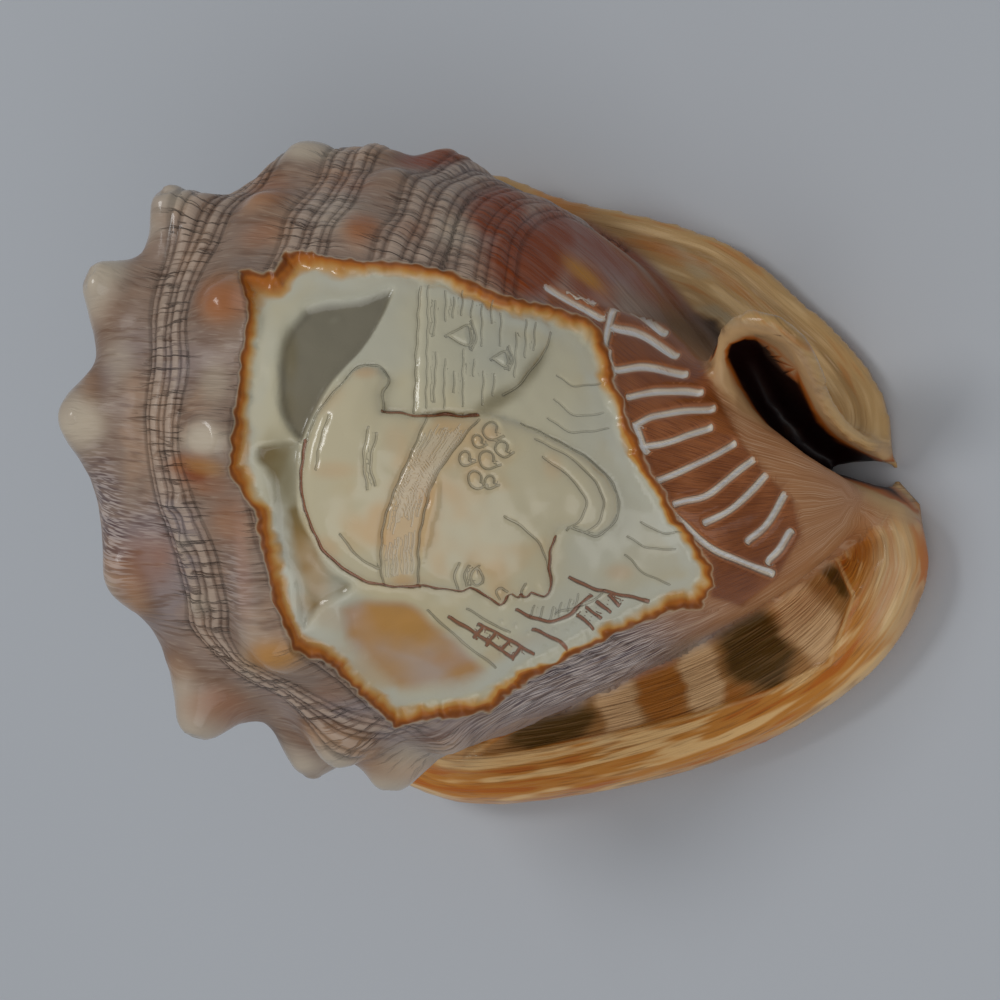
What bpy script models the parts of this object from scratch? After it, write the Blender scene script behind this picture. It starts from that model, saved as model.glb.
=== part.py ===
"""A carved helmet shell, lying on its aperture with the carved side up: one solid, in metres, +Z up."""

import math

import bmesh
import bpy
import numpy as np

MM = 0.001

# Whorl by stations from the apex to the canal: place along the shell, middle across, middle height, radius
WHORL = [
    (-73, 4.0, 45.0, 0.6),
    (-70, 4.0, 44.8, 6.5),
    (-65, 3.8, 44.4, 13.0),
    (-59, 3.6, 43.8, 20.5),
    (-53, 5.2, 43.0, 28.5),
    (-47, 5.8, 42.2, 36.0),
    (-41, 5.8, 41.4, 42.4),
    (-34, 5.4, 40.4, 47.0),
    (-22, 4.2, 39.0, 50.0),
    (-8, 3.4, 37.8, 50.6),
    (4, 3.0, 36.8, 49.0),
    (14, 2.6, 35.4, 44.8),
    (22, 2.2, 33.8, 40.2),
    (28, 0.6, 32.2, 36.0),
    (34, -1.4, 30.4, 31.0),
    (40, -3.2, 28.4, 25.6),
    (46, -4.4, 26.4, 21.0),
    (52, -5.0, 24.2, 17.0),
    (58, -4.8, 21.8, 12.8),
    (63, -4.2, 19.4, 9.2),
    (67, -4.0, 17.0, 4.0),
]
WHORL_RINGS = 120
WHORL_SIDES = 160
WHORL_FLOOR = 1.4

# Knobs on the whorl: place along, angle up from the right side in degrees, height, reach along, reach around
KNOBS = [
    (-20, 17, 6.5, 7.5, 8.5),
    (-32, 41, 10.5, 7.0, 7.5),
    (-40.5, 58, 11.0, 7.0, 7.5),
    (-43, 85, 8.5, 7.5, 9.0),
    (-35, 118, 6.5, 7.5, 9.0),
    (-28, 144, 11.5, 7.5, 9.0),
    (-17, 161, 8.5, 7.5, 8.0),
    (-24, -6, 6.5, 7.5, 8.5),
    (-16, 38, 4.4, 7.0, 7.5),
    (-12, 62, 5.4, 7.0, 7.5),
    (-10, 88, 5.4, 7.5, 8.0),
    (-5, 127, 5.6, 7.0, 8.0),
    (-7, 154, 8.0, 7.0, 8.0),
    (-6, 169, 9.0, 7.0, 8.0),
    (-9, 12, 4.4, 6.5, 7.5),
    (2, 23, 3.8, 6.0, 6.5),
    (5, 43, 3.4, 5.5, 6.0),
    (8, 164, 4.6, 6.5, 7.0),
    (-2, 0, 4.0, 6.5, 7.5),
]
KNOB_POINT = 1.5
CORDS = [-27.0, 8.0]
CORD_DROP = 0.9
CORD_REACH = 2.6

# Spire above the last whorl: seams and the small knobs between them
SEAMS = [-50.0, -61.0, -68.0]
SEAM_DROP = 2.6
SEAM_REACH = 1.7
SPIRE_KNOBS = [(-55.5, 15, 3.2, 2.6), (-64.5, 13, 2.4, 1.8)]

# Outer lip by stations: edge along, edge across, roll height, roll radius, flat top, depth, inner height
LIP = [
    (-54, -26, 18.0, 5.0, 9, 16, 24),
    (-47, -43, 13.5, 6.0, 9, 16, 22),
    (-36, -55, 10.5, 6.5, 9, 18, 18),
    (-25, -60, 8.2, 6.8, 9, 20, 14),
    (-12, -60.7, 7.0, 7.0, 10, 22, 11),
    (9, -57.4, 6.4, 6.8, 11, 22, 9),
    (30, -51.8, 6.1, 6.5, 11, 22, 9),
    (46, -45.4, 6.0, 6.3, 12, 22, 9),
    (60, -37.0, 6.0, 6.2, 12, 20, 9),
    (69.4, -27.8, 6.0, 6.1, 12, 17, 9),
    (74.6, -17.6, 6.2, 5.9, 10, 14, 9),
    (74.6, -10.9, 6.4, 5.4, 8, 12, 9),
    (72.4, -5.0, 6.6, 4.2, 6, 9, 8),
]

# Inner shield by the same stations
SHIELD = [
    (-54, 28, 20.0, 3.2, 6, 14, 26),
    (-45, 43, 15.0, 3.0, 6, 14, 24),
    (-30, 54.5, 12.5, 2.8, 6, 15, 24),
    (-12, 56.6, 11.0, 2.6, 6, 15, 22),
    (3, 51.2, 8.6, 2.5, 6, 15, 19),
    (19, 47.4, 6.2, 2.4, 6, 17, 18),
    (36.3, 41.3, 4.4, 2.3, 6, 19, 16),
    (51.6, 29.6, 3.6, 2.2, 5, 18, 15),
    (59.6, 22.4, 3.4, 2.2, 4, 14, 15),
    (65.3, 14.6, 3.3, 2.2, 3, 10, 12),
    (67.4, 7.6, 3.2, 2.2, 2, 8, 6),
]
SHIELD_FOOT = 10.0
SECTION_ARC = 9

# Underside between the two flanges: along, nearest side, farthest side, top
SOLE = [
    (-46, -30, 30, 20),
    (-20, -46, 42, 14),
    (10, -44, 38, 11),
    (35, -37, 30, 10),
    (50, -30, 20, 9),
    (60, -24, 11, 8),
    (67, -18, 5, 7),
]
SOLE_UNDER = 1.2

# Canal by stations from its closed end to the ground: left rim, floor, right rim
CANAL = [
    ((48.9, 20.4, 32.0), (47.1, 21.6, 29.0), (50.9, 22.7, 33.5)),
    ((51.0, 19.9, 33.0), (49.6, 20.7, 29.0), (53.2, 21.5, 34.5)),
    ((50.9, 16.9, 31.5), (49.2, 20.3, 22.0), (56.7, 22.9, 36.0)),
    ((51.6, 13.6, 29.5), (48.6, 16.2, 16.0), (60.7, 22.6, 35.5)),
    ((54.0, 9.7, 27.0), (49.5, 10.8, 12.0), (63.1, 20.3, 32.5)),
    ((56.7, 5.1, 22.5), (51.6, 6.1, 8.5), (63.0, 16.1, 27.0)),
    ((59.2, 1.0, 17.0), (54.2, 3.0, 5.5), (61.6, 11.5, 21.0)),
    ((62.9, -1.0, 13.0), (58.5, 1.6, 3.4), (61.9, 6.9, 14.0)),
    ((67.0, -3.2, 10.5), (63.5, 0.4, 1.6), (63.5, 4.6, 8.5)),
    ((71.3, -6.2, 8.0), (68.0, -1.8, -3.0), (65.9, 2.6, 4.0)),
]
CANAL_WALL = (5.5, 2.8)
CANAL_REACH = 24.0
CANAL_ARC = 15
# Rolled rims of the canal: centre and radius
RIMS = {
    "rim_right": [
        (50.4, 20.3, 32.5, 1.5),
        (52.6, 23.0, 34.7, 1.8),
        (56.3, 24.8, 36.2, 1.9),
        (59.7, 25.0, 36.8, 1.9),
        (63.0, 23.9, 35.8, 1.9),
        (65.2, 21.2, 33.0, 1.8),
        (65.2, 17.2, 28.3, 1.8),
        (63.8, 12.5, 22.3, 1.8),
        (63.7, 8.5, 16.8, 1.8),
        (64.6, 5.7, 11.3, 1.8),
        (65.8, 3.9, 7.0, 1.8),
    ],
    "rim_left": [
        (50.0, 20.1, 32.6, 1.4),
        (49.8, 17.2, 31.1, 1.3),
        (50.8, 13.6, 29.1, 1.3),
        (53.2, 9.3, 26.6, 1.3),
        (56.2, 4.6, 22.1, 1.3),
        (58.7, 0.5, 16.6, 1.3),
        (62.5, -1.5, 12.6, 1.4),
        (66.7, -3.7, 10.1, 1.5),
        (71.0, -6.2, 8.1, 1.6),
    ],
}

# Aperture by stations: along, across, half width, roof
APERTURE = [
    (-43, -13, 2.5, 14),
    (-36, -15, 4.4, 20),
    (-20, -18.5, 4.8, 22),
    (0, -20, 4.8, 22),
    (20, -17, 4.7, 18),
    (40, -9, 4.6, 12),
    (52, -3.5, 4.2, 8),
    (59, -1.0, 3.2, 5),
    (65, 0.2, 2.2, 4),
]
HOLLOW_WALL = 6.5
HOLLOW_ENDS = (-38.0, 42.0)
HOLLOW_FLOOR = 8.5
TEETH = 19
TOOTH_LONG = 7.5
TOOTH_RADIUS = 1.25

# Carved panel, in the carver's view: the shell seen from in front and 55 degrees up
VIEW_RISE = 55.0
VIEW_MIDDLE = (4.0, -4.2, 30.0)
PANEL = [
    (-42.0, 34.0), (-33.0, 39.5), (-15.5, 38.5), (-2.5, 34.0), (9.5, 31.0), (15.5, 26.0), (18.0, 19.0),
    (22.0, 8.0), (26.0, -1.5), (30.5, -10.0), (32.0, -14.5), (22.5, -19.0), (9.5, -25.5), (0.0, -32.0),
    (-8.0, -34.0), (-15.5, -35.0), (-24.0, -27.5), (-32.0, -22.5), (-37.0, -9.5), (-41.5, 3.0), (-41.0, 19.0),
]
PANEL_DEPTH = 1.8
PANEL_SLOPE = 2.2
# Raised figure: middle in the view, half sizes, turn in degrees, height
FIGURE = [
    (-22.0, 4.0, 10.0, 16.0, -8, 2.2),
    (-11.0, 0.0, 4.0, 15.0, -14, 2.0),
    (-1.0, -2.0, 9.0, 12.0, -10, 1.8),
    (9.0, 2.0, 9.0, 9.0, 20, 1.7),
    (-21.0, 17.5, 4.0, 4.0, 0, 1.8),
]

VOXEL = 1.5
FINE_VOXEL = 1.15
CUTTER_VOXEL = 0.9
SMOOTH_STEPS = 12
TRIANGLES = 9300
REST_REACH = 90.0

COLOUR = (0.66, 0.55, 0.44, 1.0)
ROUGHNESS = 0.32


def along(rows, place):
    """Smooth values of the rows' later columns at each place in their first column."""
    table = np.array(rows, float)
    knots, values = table[:, 0], table[:, 1:]
    slopes = np.gradient(values, knots, axis=0)
    place = np.asarray(place, float)
    low = np.clip(np.searchsorted(knots, place) - 1, 0, len(knots) - 2)
    step = (knots[low + 1] - knots[low])[..., None]
    part = np.clip((place - knots[low])[..., None] / step, 0.0, 1.0)
    before = values[low] * (2 * part**3 - 3 * part**2 + 1) + slopes[low] * step * (part**3 - 2 * part**2 + part)
    after = values[low + 1] * (3 * part**2 - 2 * part**3) + slopes[low + 1] * step * (part**3 - part**2)
    return before + after


def evenly(rows, count):
    """The rows sampled smoothly at an even count of places."""
    table = [(number, *row) for number, row in enumerate(rows)]
    return along(table, np.linspace(0, len(rows) - 1, count))


def bump(distance):
    return np.exp(-np.abs(distance) ** 2)


def whorl_rings(places, angles, lift, floor):
    """Points of the whorl at each place and angle, raised by lift, kept above the floor."""
    middle = along(WHORL, places)
    radius = middle[:, 2:3] + lift
    across = middle[:, 0:1] + radius * np.cos(angles)
    height = middle[:, 1:2] + radius * np.sin(angles)
    soft = 2.0
    height = floor + np.logaddexp(0.0, (height - floor) / soft) * soft
    return np.stack([np.broadcast_to(places[:, None], across.shape), across, height], -1)


def knob_lift(places, angles):
    """How far knobs, cords and seams raise or lower the whorl."""
    radius = np.maximum(along(WHORL, places)[:, 2:3], 1.0)
    lift = np.zeros((len(places), len(angles)))
    for place, turn, height, reach, around in KNOBS:
        away = (angles[None, :] - math.radians(turn) + math.pi) % (2 * math.pi) - math.pi
        distance = np.hypot((places[:, None] - place) / reach, away * radius / around)
        lift = np.maximum(lift, height * np.exp(-(distance**KNOB_POINT) * 1.6))
    for cord in CORDS:
        line = cord + 4.0 * np.cos(angles[None, :] - math.pi)
        lift = lift - CORD_DROP * bump((places[:, None] - line) / CORD_REACH)
    for seam in SEAMS:
        line = seam + 2.0 * angles[None, :] / math.pi
        lift = lift - SEAM_DROP * bump((places[:, None] - line) / SEAM_REACH)
    for place, count, height, reach in SPIRE_KNOBS:
        ring = (0.5 + 0.5 * np.cos(angles[None, :] * count)) ** 2
        lift = lift + height * ring * bump((places[:, None] - place) / reach)
    return lift


def solid(name, rings, round_and_round):
    """A closed mesh through rings of points, with flat ends or joined end to end."""
    mesh = bmesh.new()
    rows = [[mesh.verts.new(tuple(point * MM)) for point in ring] for ring in rings]
    count = len(rows[0])
    pairs = list(zip(rows, rows[1:]))
    if round_and_round:
        pairs.append((rows[-1], rows[0]))
    for near, far in pairs:
        for side in range(count):
            after = (side + 1) % count
            mesh.faces.new((near[side], near[after], far[after], far[side]))
    if not round_and_round:
        mesh.faces.new(rows[0][::-1])
        mesh.faces.new(rows[-1])
    bmesh.ops.recalc_face_normals(mesh, faces=mesh.faces)
    data = bpy.data.meshes.new(name)
    mesh.to_mesh(data)
    mesh.free()
    made = bpy.data.objects.new(name, data)
    bpy.context.scene.collection.objects.link(made)
    return made


def whorl(name, ends, lift, floor, rings, sides, knobs):
    places = np.linspace(ends[0], ends[1], rings)
    angles = np.linspace(-math.pi / 2, 1.5 * math.pi, sides, endpoint=False)
    raised = np.full((rings, sides), lift, float)
    if knobs:
        raised = raised + knob_lift(places, angles)
    return solid(name, whorl_rings(places, angles, raised, floor), False)


def hollow(name):
    """The room inside the whorl, rounded at both ends."""
    places = np.linspace(HOLLOW_ENDS[0], HOLLOW_ENDS[1], 36)
    angles = np.linspace(-math.pi / 2, 1.5 * math.pi, 48, endpoint=False)
    middle = (HOLLOW_ENDS[0] + HOLLOW_ENDS[1]) / 2
    half = (HOLLOW_ENDS[1] - HOLLOW_ENDS[0]) / 2
    share = np.sqrt(np.maximum(1.0 - ((places - middle) / half) ** 2, 0.002))
    radius = along(WHORL, places)[:, 2]
    lift = (radius - HOLLOW_WALL) * share - radius
    return solid(name, whorl_rings(places, angles, lift[:, None] * np.ones(48), HOLLOW_FLOOR), False)


def flange(name, rows, foot, side):
    """The rolled edge that spreads from the whorl: side is the way in from the edge."""
    table = evenly(rows, 70)
    edge = table[:, :2]
    run = np.gradient(edge, axis=0)
    run /= np.linalg.norm(run, axis=1)[:, None]
    inward = np.stack([-run[:, 1], run[:, 0]], 1) * side
    rings = []
    for spot, way, (height, radius, flat, depth, inner) in zip(edge, inward, table[:, 2:]):
        arc = np.linspace(-math.pi / 2, math.pi / 2, SECTION_ARC)
        reach = list(radius - radius * np.cos(arc))
        rise = list(height + radius * np.sin(arc))
        reach += [flat, depth, depth, max(foot, radius)]
        rise += [height + radius, inner, -1.0, -1.0]
        ring = [(*(spot + way * r), z) for r, z in zip(reach, rise)]
        rings.append(np.array(ring))
    return solid(name, rings, False)


def sole(name):
    rings = []
    for x, low, high, top in evenly(SOLE, 30):
        corners = [(low, SOLE_UNDER), (high, SOLE_UNDER), (high, top), (low, top)]
        rings.append(np.array([(x, y, z) for y, z in corners]))
    return solid(name, rings, False)


def canal_sections(first):
    """Along the canal from a station: the inside from rim to rim, the way that it opens and the middle."""
    table = evenly([(*left, *floor, *right) for left, floor, right in CANAL[first:]], 32)
    part = np.linspace(0, 1, CANAL_ARC)[:, None]
    for row in table:
        left, floor, right = row[:3], row[3:6], row[6:]
        pull = 2 * floor - (left + right) / 2
        inside = left * (1 - part) ** 2 + 2 * pull * part * (1 - part) + right * part**2
        opening = (left + right) / 2 - floor
        yield inside, opening / np.linalg.norm(opening), (left + right) / 2


def canal_wall(name):
    rings = []
    thick = np.linspace(CANAL_WALL[0], CANAL_WALL[1], CANAL_ARC)[:, None]
    for inside, opening, middle in canal_sections(0):
        out = inside - (middle - opening)
        out = inside + out / np.linalg.norm(out, axis=1)[:, None] * thick
        rings.append(np.concatenate([inside, out[::-1]]))
    return solid(name, rings, False)


def canal_bore(name):
    rings = []
    for inside, opening, middle in canal_sections(1):
        beyond = opening * CANAL_REACH
        rings.append(np.concatenate([inside, [inside[-1] + beyond, inside[0] + beyond]]))
    return solid(name, rings, False)


def tube(name, rows):
    """A round bar through points, each with its own radius."""
    data = bpy.data.curves.new(name, "CURVE")
    data.dimensions = "3D"
    data.bevel_depth = MM
    data.bevel_resolution = 4
    data.use_fill_caps = True
    table = evenly(rows, len(rows) * 4)
    line = data.splines.new("POLY")
    line.points.add(len(table) - 1)
    for point, (x, y, z, radius) in zip(line.points, table):
        point.co = (x * MM, y * MM, z * MM, 1.0)
        point.radius = radius
    bar = bpy.data.objects.new(name, data)
    bpy.context.scene.collection.objects.link(bar)
    bpy.ops.object.select_all(action="DESELECT")
    bar.select_set(True)
    bpy.context.view_layer.objects.active = bar
    bpy.ops.object.convert(target="MESH")
    return bar


def aperture_frames(count):
    table = evenly(APERTURE, count)
    run = np.gradient(table[:, :2], axis=0)
    run /= np.linalg.norm(run, axis=1)[:, None]
    return table, np.stack([-run[:, 1], run[:, 0]], 1)


def slit(name):
    table, across = aperture_frames(40)
    rings = []
    for (x, y, half, roof), way in zip(table, across):
        middle = np.array([x, y])
        corners = [(-half * 1.3, -3.0), (half * 1.3, -3.0), (half, 3.0), (half * 0.8, roof), (-half * 0.8, roof), (-half, 3.0)]
        rings.append(np.array([(*(middle + way * r), z) for r, z in corners]))
    return solid(name, rings, False)


def teeth():
    """Short ridges on both margins of the aperture."""
    table, across = aperture_frames(TEETH + 4)
    made = []
    for number in range(2, TEETH + 1):
        x, y, half, roof = table[number]
        for sign in (-1, 1):
            near = np.array([x, y]) + across[number] * sign * (half - 0.9)
            far = near + across[number] * sign * TOOTH_LONG
            turn = math.atan2(far[1] - near[1], far[0] - near[0])
            centre = (near + far) / 2
            bpy.ops.mesh.primitive_uv_sphere_add(segments=12, ring_count=8, radius=1.0)
            tooth = bpy.context.object
            tooth.name = f"tooth_{number}_{sign}"
            tooth.location = (centre[0] * MM, centre[1] * MM, 1.5 * MM)
            tooth.scale = (TOOTH_LONG * 0.56 * MM, TOOTH_RADIUS * MM, 1.6 * MM)
            tooth.rotation_euler = (0, 0, turn)
            made.append(tooth)
    return made


def box(name, low, high):
    corners = [(low[0], low[1]), (high[0], low[1]), (high[0], high[1]), (low[0], high[1])]
    return solid(name, [np.array([(x, y, z) for x, y in corners], float) for z in (low[2], high[2])], False)


def hide(cutter):
    cutter.hide_render = True
    cutter.display_type = "WIRE"


def settle(made):
    """Replaces the object's mesh by the one that its modifiers make."""
    bpy.context.view_layer.update()
    graph = bpy.context.evaluated_depsgraph_get()
    data = bpy.data.meshes.new_from_object(made.evaluated_get(graph))
    made.modifiers.clear()
    made.data = data


def remesh(made, voxel):
    step = made.modifiers.new("remesh", "REMESH")
    step.mode = "VOXEL"
    step.voxel_size = voxel * MM
    settle(made)


def cut(made, cutter):
    step = made.modifiers.new("cut", "BOOLEAN")
    step.operation = "DIFFERENCE"
    step.solver = "EXACT"
    step.object = cutter
    settle(made)
    bpy.data.objects.remove(cutter)


def smooth(made, steps):
    step = made.modifiers.new("smooth", "SMOOTH")
    step.factor = 0.5
    step.iterations = steps
    settle(made)


def join(pieces, name):
    bpy.ops.object.select_all(action="DESELECT")
    for piece in pieces:
        piece.select_set(True)
    bpy.context.view_layer.objects.active = pieces[0]
    bpy.ops.object.transform_apply(location=True, rotation=True, scale=True)
    bpy.ops.object.join()
    pieces[0].name = name
    return pieces[0]


def view_places(points):
    """Places of points, in millimetres, in the carver's view: across it and up it."""
    rise = math.radians(VIEW_RISE)
    away = points - np.array(VIEW_MIDDLE)
    return away @ np.array([math.sin(rise), 0.0, -math.cos(rise)]), away[:, 1]


def inside_depth(right, up, outline):
    """Distance in from the outline, below zero outside it."""
    corners = np.array(outline, float)
    nearest = np.full(right.shape, 1e9)
    odd = np.zeros(right.shape, bool)
    for (x0, y0), (x1, y1) in zip(corners, np.roll(corners, -1, axis=0)):
        dx, dy = x1 - x0, y1 - y0
        part = np.clip(((right - x0) * dx + (up - y0) * dy) / (dx * dx + dy * dy), 0, 1)
        nearest = np.minimum(nearest, np.hypot(right - x0 - dx * part, up - y0 - dy * part))
        crosses = (y0 > up) != (y1 > up)
        where = x0 + (up - y0) * dx / (dy if dy else 1e-9)
        odd ^= crosses & (right < where)
    return np.where(odd, nearest, -nearest)


def carve(made):
    """Sinks the panel and raises the figure in it."""
    data = made.data
    points = np.empty(len(data.vertices) * 3, np.float32)
    data.vertices.foreach_get("co", points)
    points = points.reshape(-1, 3) / MM
    normals = np.array([vertex.normal[:] for vertex in data.vertices])
    right, up = view_places(points)
    depth = inside_depth(right, up, PANEL)
    sunk = np.clip(depth / PANEL_SLOPE, 0, 1)
    sunk = PANEL_DEPTH * sunk * sunk * (3 - 2 * sunk)
    raised = np.zeros(len(points))
    for x, y, wide, tall, turn, height in FIGURE:
        angle = math.radians(turn)
        dx = (right - x) * math.cos(angle) + (up - y) * math.sin(angle)
        dy = (up - y) * math.cos(angle) - (right - x) * math.sin(angle)
        dome = np.clip(1.15 - (dx / wide) ** 2 - (dy / tall) ** 2, 0, 1)
        raised = np.maximum(raised, height * np.sqrt(dome) * (depth > 0))
    outer = along(WHORL, points[:, 0])
    radius = np.hypot(points[:, 1] - outer[:, 0], points[:, 2] - outer[:, 1])
    on_top = (points[:, 2] > outer[:, 1]) & (radius > outer[:, 2] - 3.0)
    points += normals * ((raised - sunk) * on_top)[:, None]
    data.vertices.foreach_set("co", (points * MM).astype(np.float32).reshape(-1))
    data.update()


def thin_out(made, triangles):
    made.modifiers.new("triangulate", "TRIANGULATE")
    settle(made)
    step = made.modifiers.new("decimate", "DECIMATE")
    step.ratio = triangles / len(made.data.polygons)
    step.use_collapse_triangulate = True
    settle(made)


def drop_crumbs(made):
    """Keeps the one large body and drops what the cutters left loose."""
    mesh = bmesh.new()
    mesh.from_mesh(made.data)
    left = set(mesh.verts)
    bodies = []
    while left:
        found = {left.pop()}
        edge = list(found)
        while edge:
            near = {link.other_vert(vert) for vert in edge for link in vert.link_edges} - found
            found |= near
            edge = list(near)
        left -= found
        bodies.append(found)
    bodies.sort(key=len)
    for crumb in bodies[:-1]:
        bmesh.ops.delete(mesh, geom=list(crumb), context="VERTS")
    mesh.to_mesh(made.data)
    mesh.free()


def centre(made):
    """Puts the middle of the box that holds the shell over the origin, and its rest on the ground."""
    points = np.array([vertex.co[:] for vertex in made.data.vertices])
    low, high = points.min(axis=0), points.max(axis=0)
    shift = np.array([(low[0] + high[0]) / 2, (low[1] + high[1]) / 2, low[2]])
    for vertex, point in zip(made.data.vertices, points):
        vertex.co = point - shift
    print("moved by", (shift / MM).round(3), "box", ((high - low) / MM).round(2))


def paint(made):
    material = bpy.data.materials.new("carved shell")
    material.use_nodes = True
    surface = material.node_tree.nodes["Principled BSDF"]
    surface.inputs["Base Color"].default_value = COLOUR
    surface.inputs["Roughness"].default_value = ROUGHNESS
    surface.inputs["Metallic"].default_value = 0.0
    made.data.materials.clear()
    made.data.materials.append(material)
    made.data.polygons.foreach_set("use_smooth", [True] * len(made.data.polygons))


def main():
    for old in list(bpy.data.objects):
        bpy.data.objects.remove(old)
    ends = (WHORL[0][0], WHORL[-1][0])
    pieces = [
        whorl("whorl", ends, 0.0, WHORL_FLOOR, WHORL_RINGS, WHORL_SIDES, True),
        flange("lip", LIP, 0.0, 1),
        flange("shield", SHIELD, SHIELD_FOOT, -1),
        sole("sole"),
    ]
    shell = join(pieces, "shell")
    remesh(shell, VOXEL)
    smooth(shell, SMOOTH_STEPS)
    rims = [tube(name, rows) for name, rows in RIMS.items()]
    shell = join([shell, canal_wall("canal"), *rims, *teeth()], "shell")
    remesh(shell, FINE_VOXEL)
    for cutter in (hollow("hollow"), slit("slit"), canal_bore("bore")):
        remesh(cutter, CUTTER_VOXEL)
        hide(cutter)
        cut(shell, cutter)
    remesh(shell, FINE_VOXEL)
    smooth(shell, 3)
    carve(shell)
    thin_out(shell, TRIANGLES)
    ground = box("ground", (-REST_REACH, -REST_REACH, -REST_REACH), (REST_REACH, REST_REACH, 0.0))
    hide(ground)
    cut(shell, ground)
    drop_crumbs(shell)
    centre(shell)
    paint(shell)
    print("triangles", sum(len(face.vertices) - 2 for face in shell.data.polygons))


main()
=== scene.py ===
"""A carved helmet shell lying on its aperture on a pale floor, seen from above its carved side."""

import math
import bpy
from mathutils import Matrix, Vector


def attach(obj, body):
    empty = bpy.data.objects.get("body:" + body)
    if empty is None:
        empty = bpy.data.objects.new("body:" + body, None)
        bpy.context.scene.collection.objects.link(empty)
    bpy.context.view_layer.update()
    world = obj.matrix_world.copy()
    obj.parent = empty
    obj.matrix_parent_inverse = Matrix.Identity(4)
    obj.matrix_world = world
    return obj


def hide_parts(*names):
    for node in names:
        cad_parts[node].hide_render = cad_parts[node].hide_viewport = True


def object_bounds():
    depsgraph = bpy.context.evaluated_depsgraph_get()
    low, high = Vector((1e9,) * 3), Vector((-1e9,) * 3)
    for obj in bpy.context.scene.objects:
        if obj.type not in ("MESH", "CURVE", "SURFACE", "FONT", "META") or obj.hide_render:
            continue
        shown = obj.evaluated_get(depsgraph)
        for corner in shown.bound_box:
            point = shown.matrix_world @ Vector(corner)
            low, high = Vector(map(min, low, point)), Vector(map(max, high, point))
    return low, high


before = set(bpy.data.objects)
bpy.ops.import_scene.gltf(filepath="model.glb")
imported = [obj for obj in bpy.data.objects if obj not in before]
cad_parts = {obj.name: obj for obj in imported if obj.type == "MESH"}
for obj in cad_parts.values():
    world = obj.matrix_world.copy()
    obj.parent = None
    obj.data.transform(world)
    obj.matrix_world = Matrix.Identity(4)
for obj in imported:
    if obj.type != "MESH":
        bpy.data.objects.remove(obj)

from types import SimpleNamespace

import bmesh
import bpy
import numpy as np
from mathutils import Matrix, Vector, noise

MM = 0.001
CAD_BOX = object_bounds()
# From the shape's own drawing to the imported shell
DRAWN_TO_PACKED = np.array([-1.127, 0.812, 0.0])

# Whorl by stations from the apex to the canal: place along the shell, middle across, middle height, radius
WHORL = [
    (-73, 4.0, 45.0, 0.6),
    (-70, 4.0, 44.8, 6.5),
    (-65, 3.8, 44.4, 13.0),
    (-59, 3.6, 43.8, 20.5),
    (-53, 5.2, 43.0, 28.5),
    (-47, 5.8, 42.2, 36.0),
    (-41, 5.8, 41.4, 42.4),
    (-34, 5.4, 40.4, 47.0),
    (-22, 4.2, 39.0, 50.0),
    (-8, 3.4, 37.8, 50.6),
    (4, 3.0, 36.8, 49.0),
    (14, 2.6, 35.4, 44.8),
    (22, 2.2, 33.8, 40.2),
    (28, 0.6, 32.2, 36.0),
    (34, -1.4, 30.4, 31.0),
    (40, -3.2, 28.4, 25.6),
    (46, -4.4, 26.4, 21.0),
    (52, -5.0, 24.2, 17.0),
    (58, -4.8, 21.8, 12.8),
    (63, -4.2, 19.4, 9.2),
    (67, -4.0, 17.0, 4.0),
]
WHORL_RINGS = 120
WHORL_SIDES = 160
WHORL_FLOOR = 1.4

# Knobs on the whorl: place along, angle up from the right side in degrees, height, reach along, reach around
KNOBS = [
    (-20, 17, 6.5, 7.5, 8.5),
    (-32, 41, 10.5, 7.0, 7.5),
    (-40.5, 58, 11.0, 7.0, 7.5),
    (-43, 85, 8.5, 7.5, 9.0),
    (-35, 118, 6.5, 7.5, 9.0),
    (-28, 144, 11.5, 7.5, 9.0),
    (-17, 161, 8.5, 7.5, 8.0),
    (-24, -6, 6.5, 7.5, 8.5),
    (-16, 38, 4.4, 7.0, 7.5),
    (-12, 62, 5.4, 7.0, 7.5),
    (-10, 88, 5.4, 7.5, 8.0),
    (-5, 127, 5.6, 7.0, 8.0),
    (-7, 154, 8.0, 7.0, 8.0),
    (-6, 169, 9.0, 7.0, 8.0),
    (-9, 12, 4.4, 6.5, 7.5),
    (2, 23, 3.8, 6.0, 6.5),
    (5, 43, 3.4, 5.5, 6.0),
    (8, 164, 4.6, 6.5, 7.0),
    (-2, 0, 4.0, 6.5, 7.5),
]
KNOB_POINT = 1.5
CORDS = [-27.0, 8.0]
CORD_DROP = 0.9
CORD_REACH = 2.6

# Spire above the last whorl: seams and the small knobs between them
SEAMS = [-50.0, -61.0, -68.0]
SEAM_DROP = 2.6
SEAM_REACH = 1.7
SPIRE_KNOBS = [(-55.5, 15, 3.2, 2.6), (-64.5, 13, 2.4, 1.8)]

# Outer lip by stations: edge along, edge across, roll height, roll radius, flat top, depth, inner height
LIP = [
    (-54, -26, 18.0, 5.0, 9, 16, 24),
    (-47, -43, 13.5, 6.0, 9, 16, 22),
    (-36, -55, 10.5, 6.5, 9, 18, 18),
    (-25, -60, 8.2, 6.8, 9, 20, 14),
    (-12, -60.7, 7.0, 7.0, 10, 22, 11),
    (9, -57.4, 6.4, 6.8, 11, 22, 9),
    (30, -51.8, 6.1, 6.5, 11, 22, 9),
    (46, -45.4, 6.0, 6.3, 12, 22, 9),
    (60, -37.0, 6.0, 6.2, 12, 20, 9),
    (69.4, -27.8, 6.0, 6.1, 12, 17, 9),
    (74.6, -17.6, 6.2, 5.9, 10, 14, 9),
    (74.6, -10.9, 6.4, 5.4, 8, 12, 9),
    (72.4, -5.0, 6.6, 4.2, 6, 9, 8),
]

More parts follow.
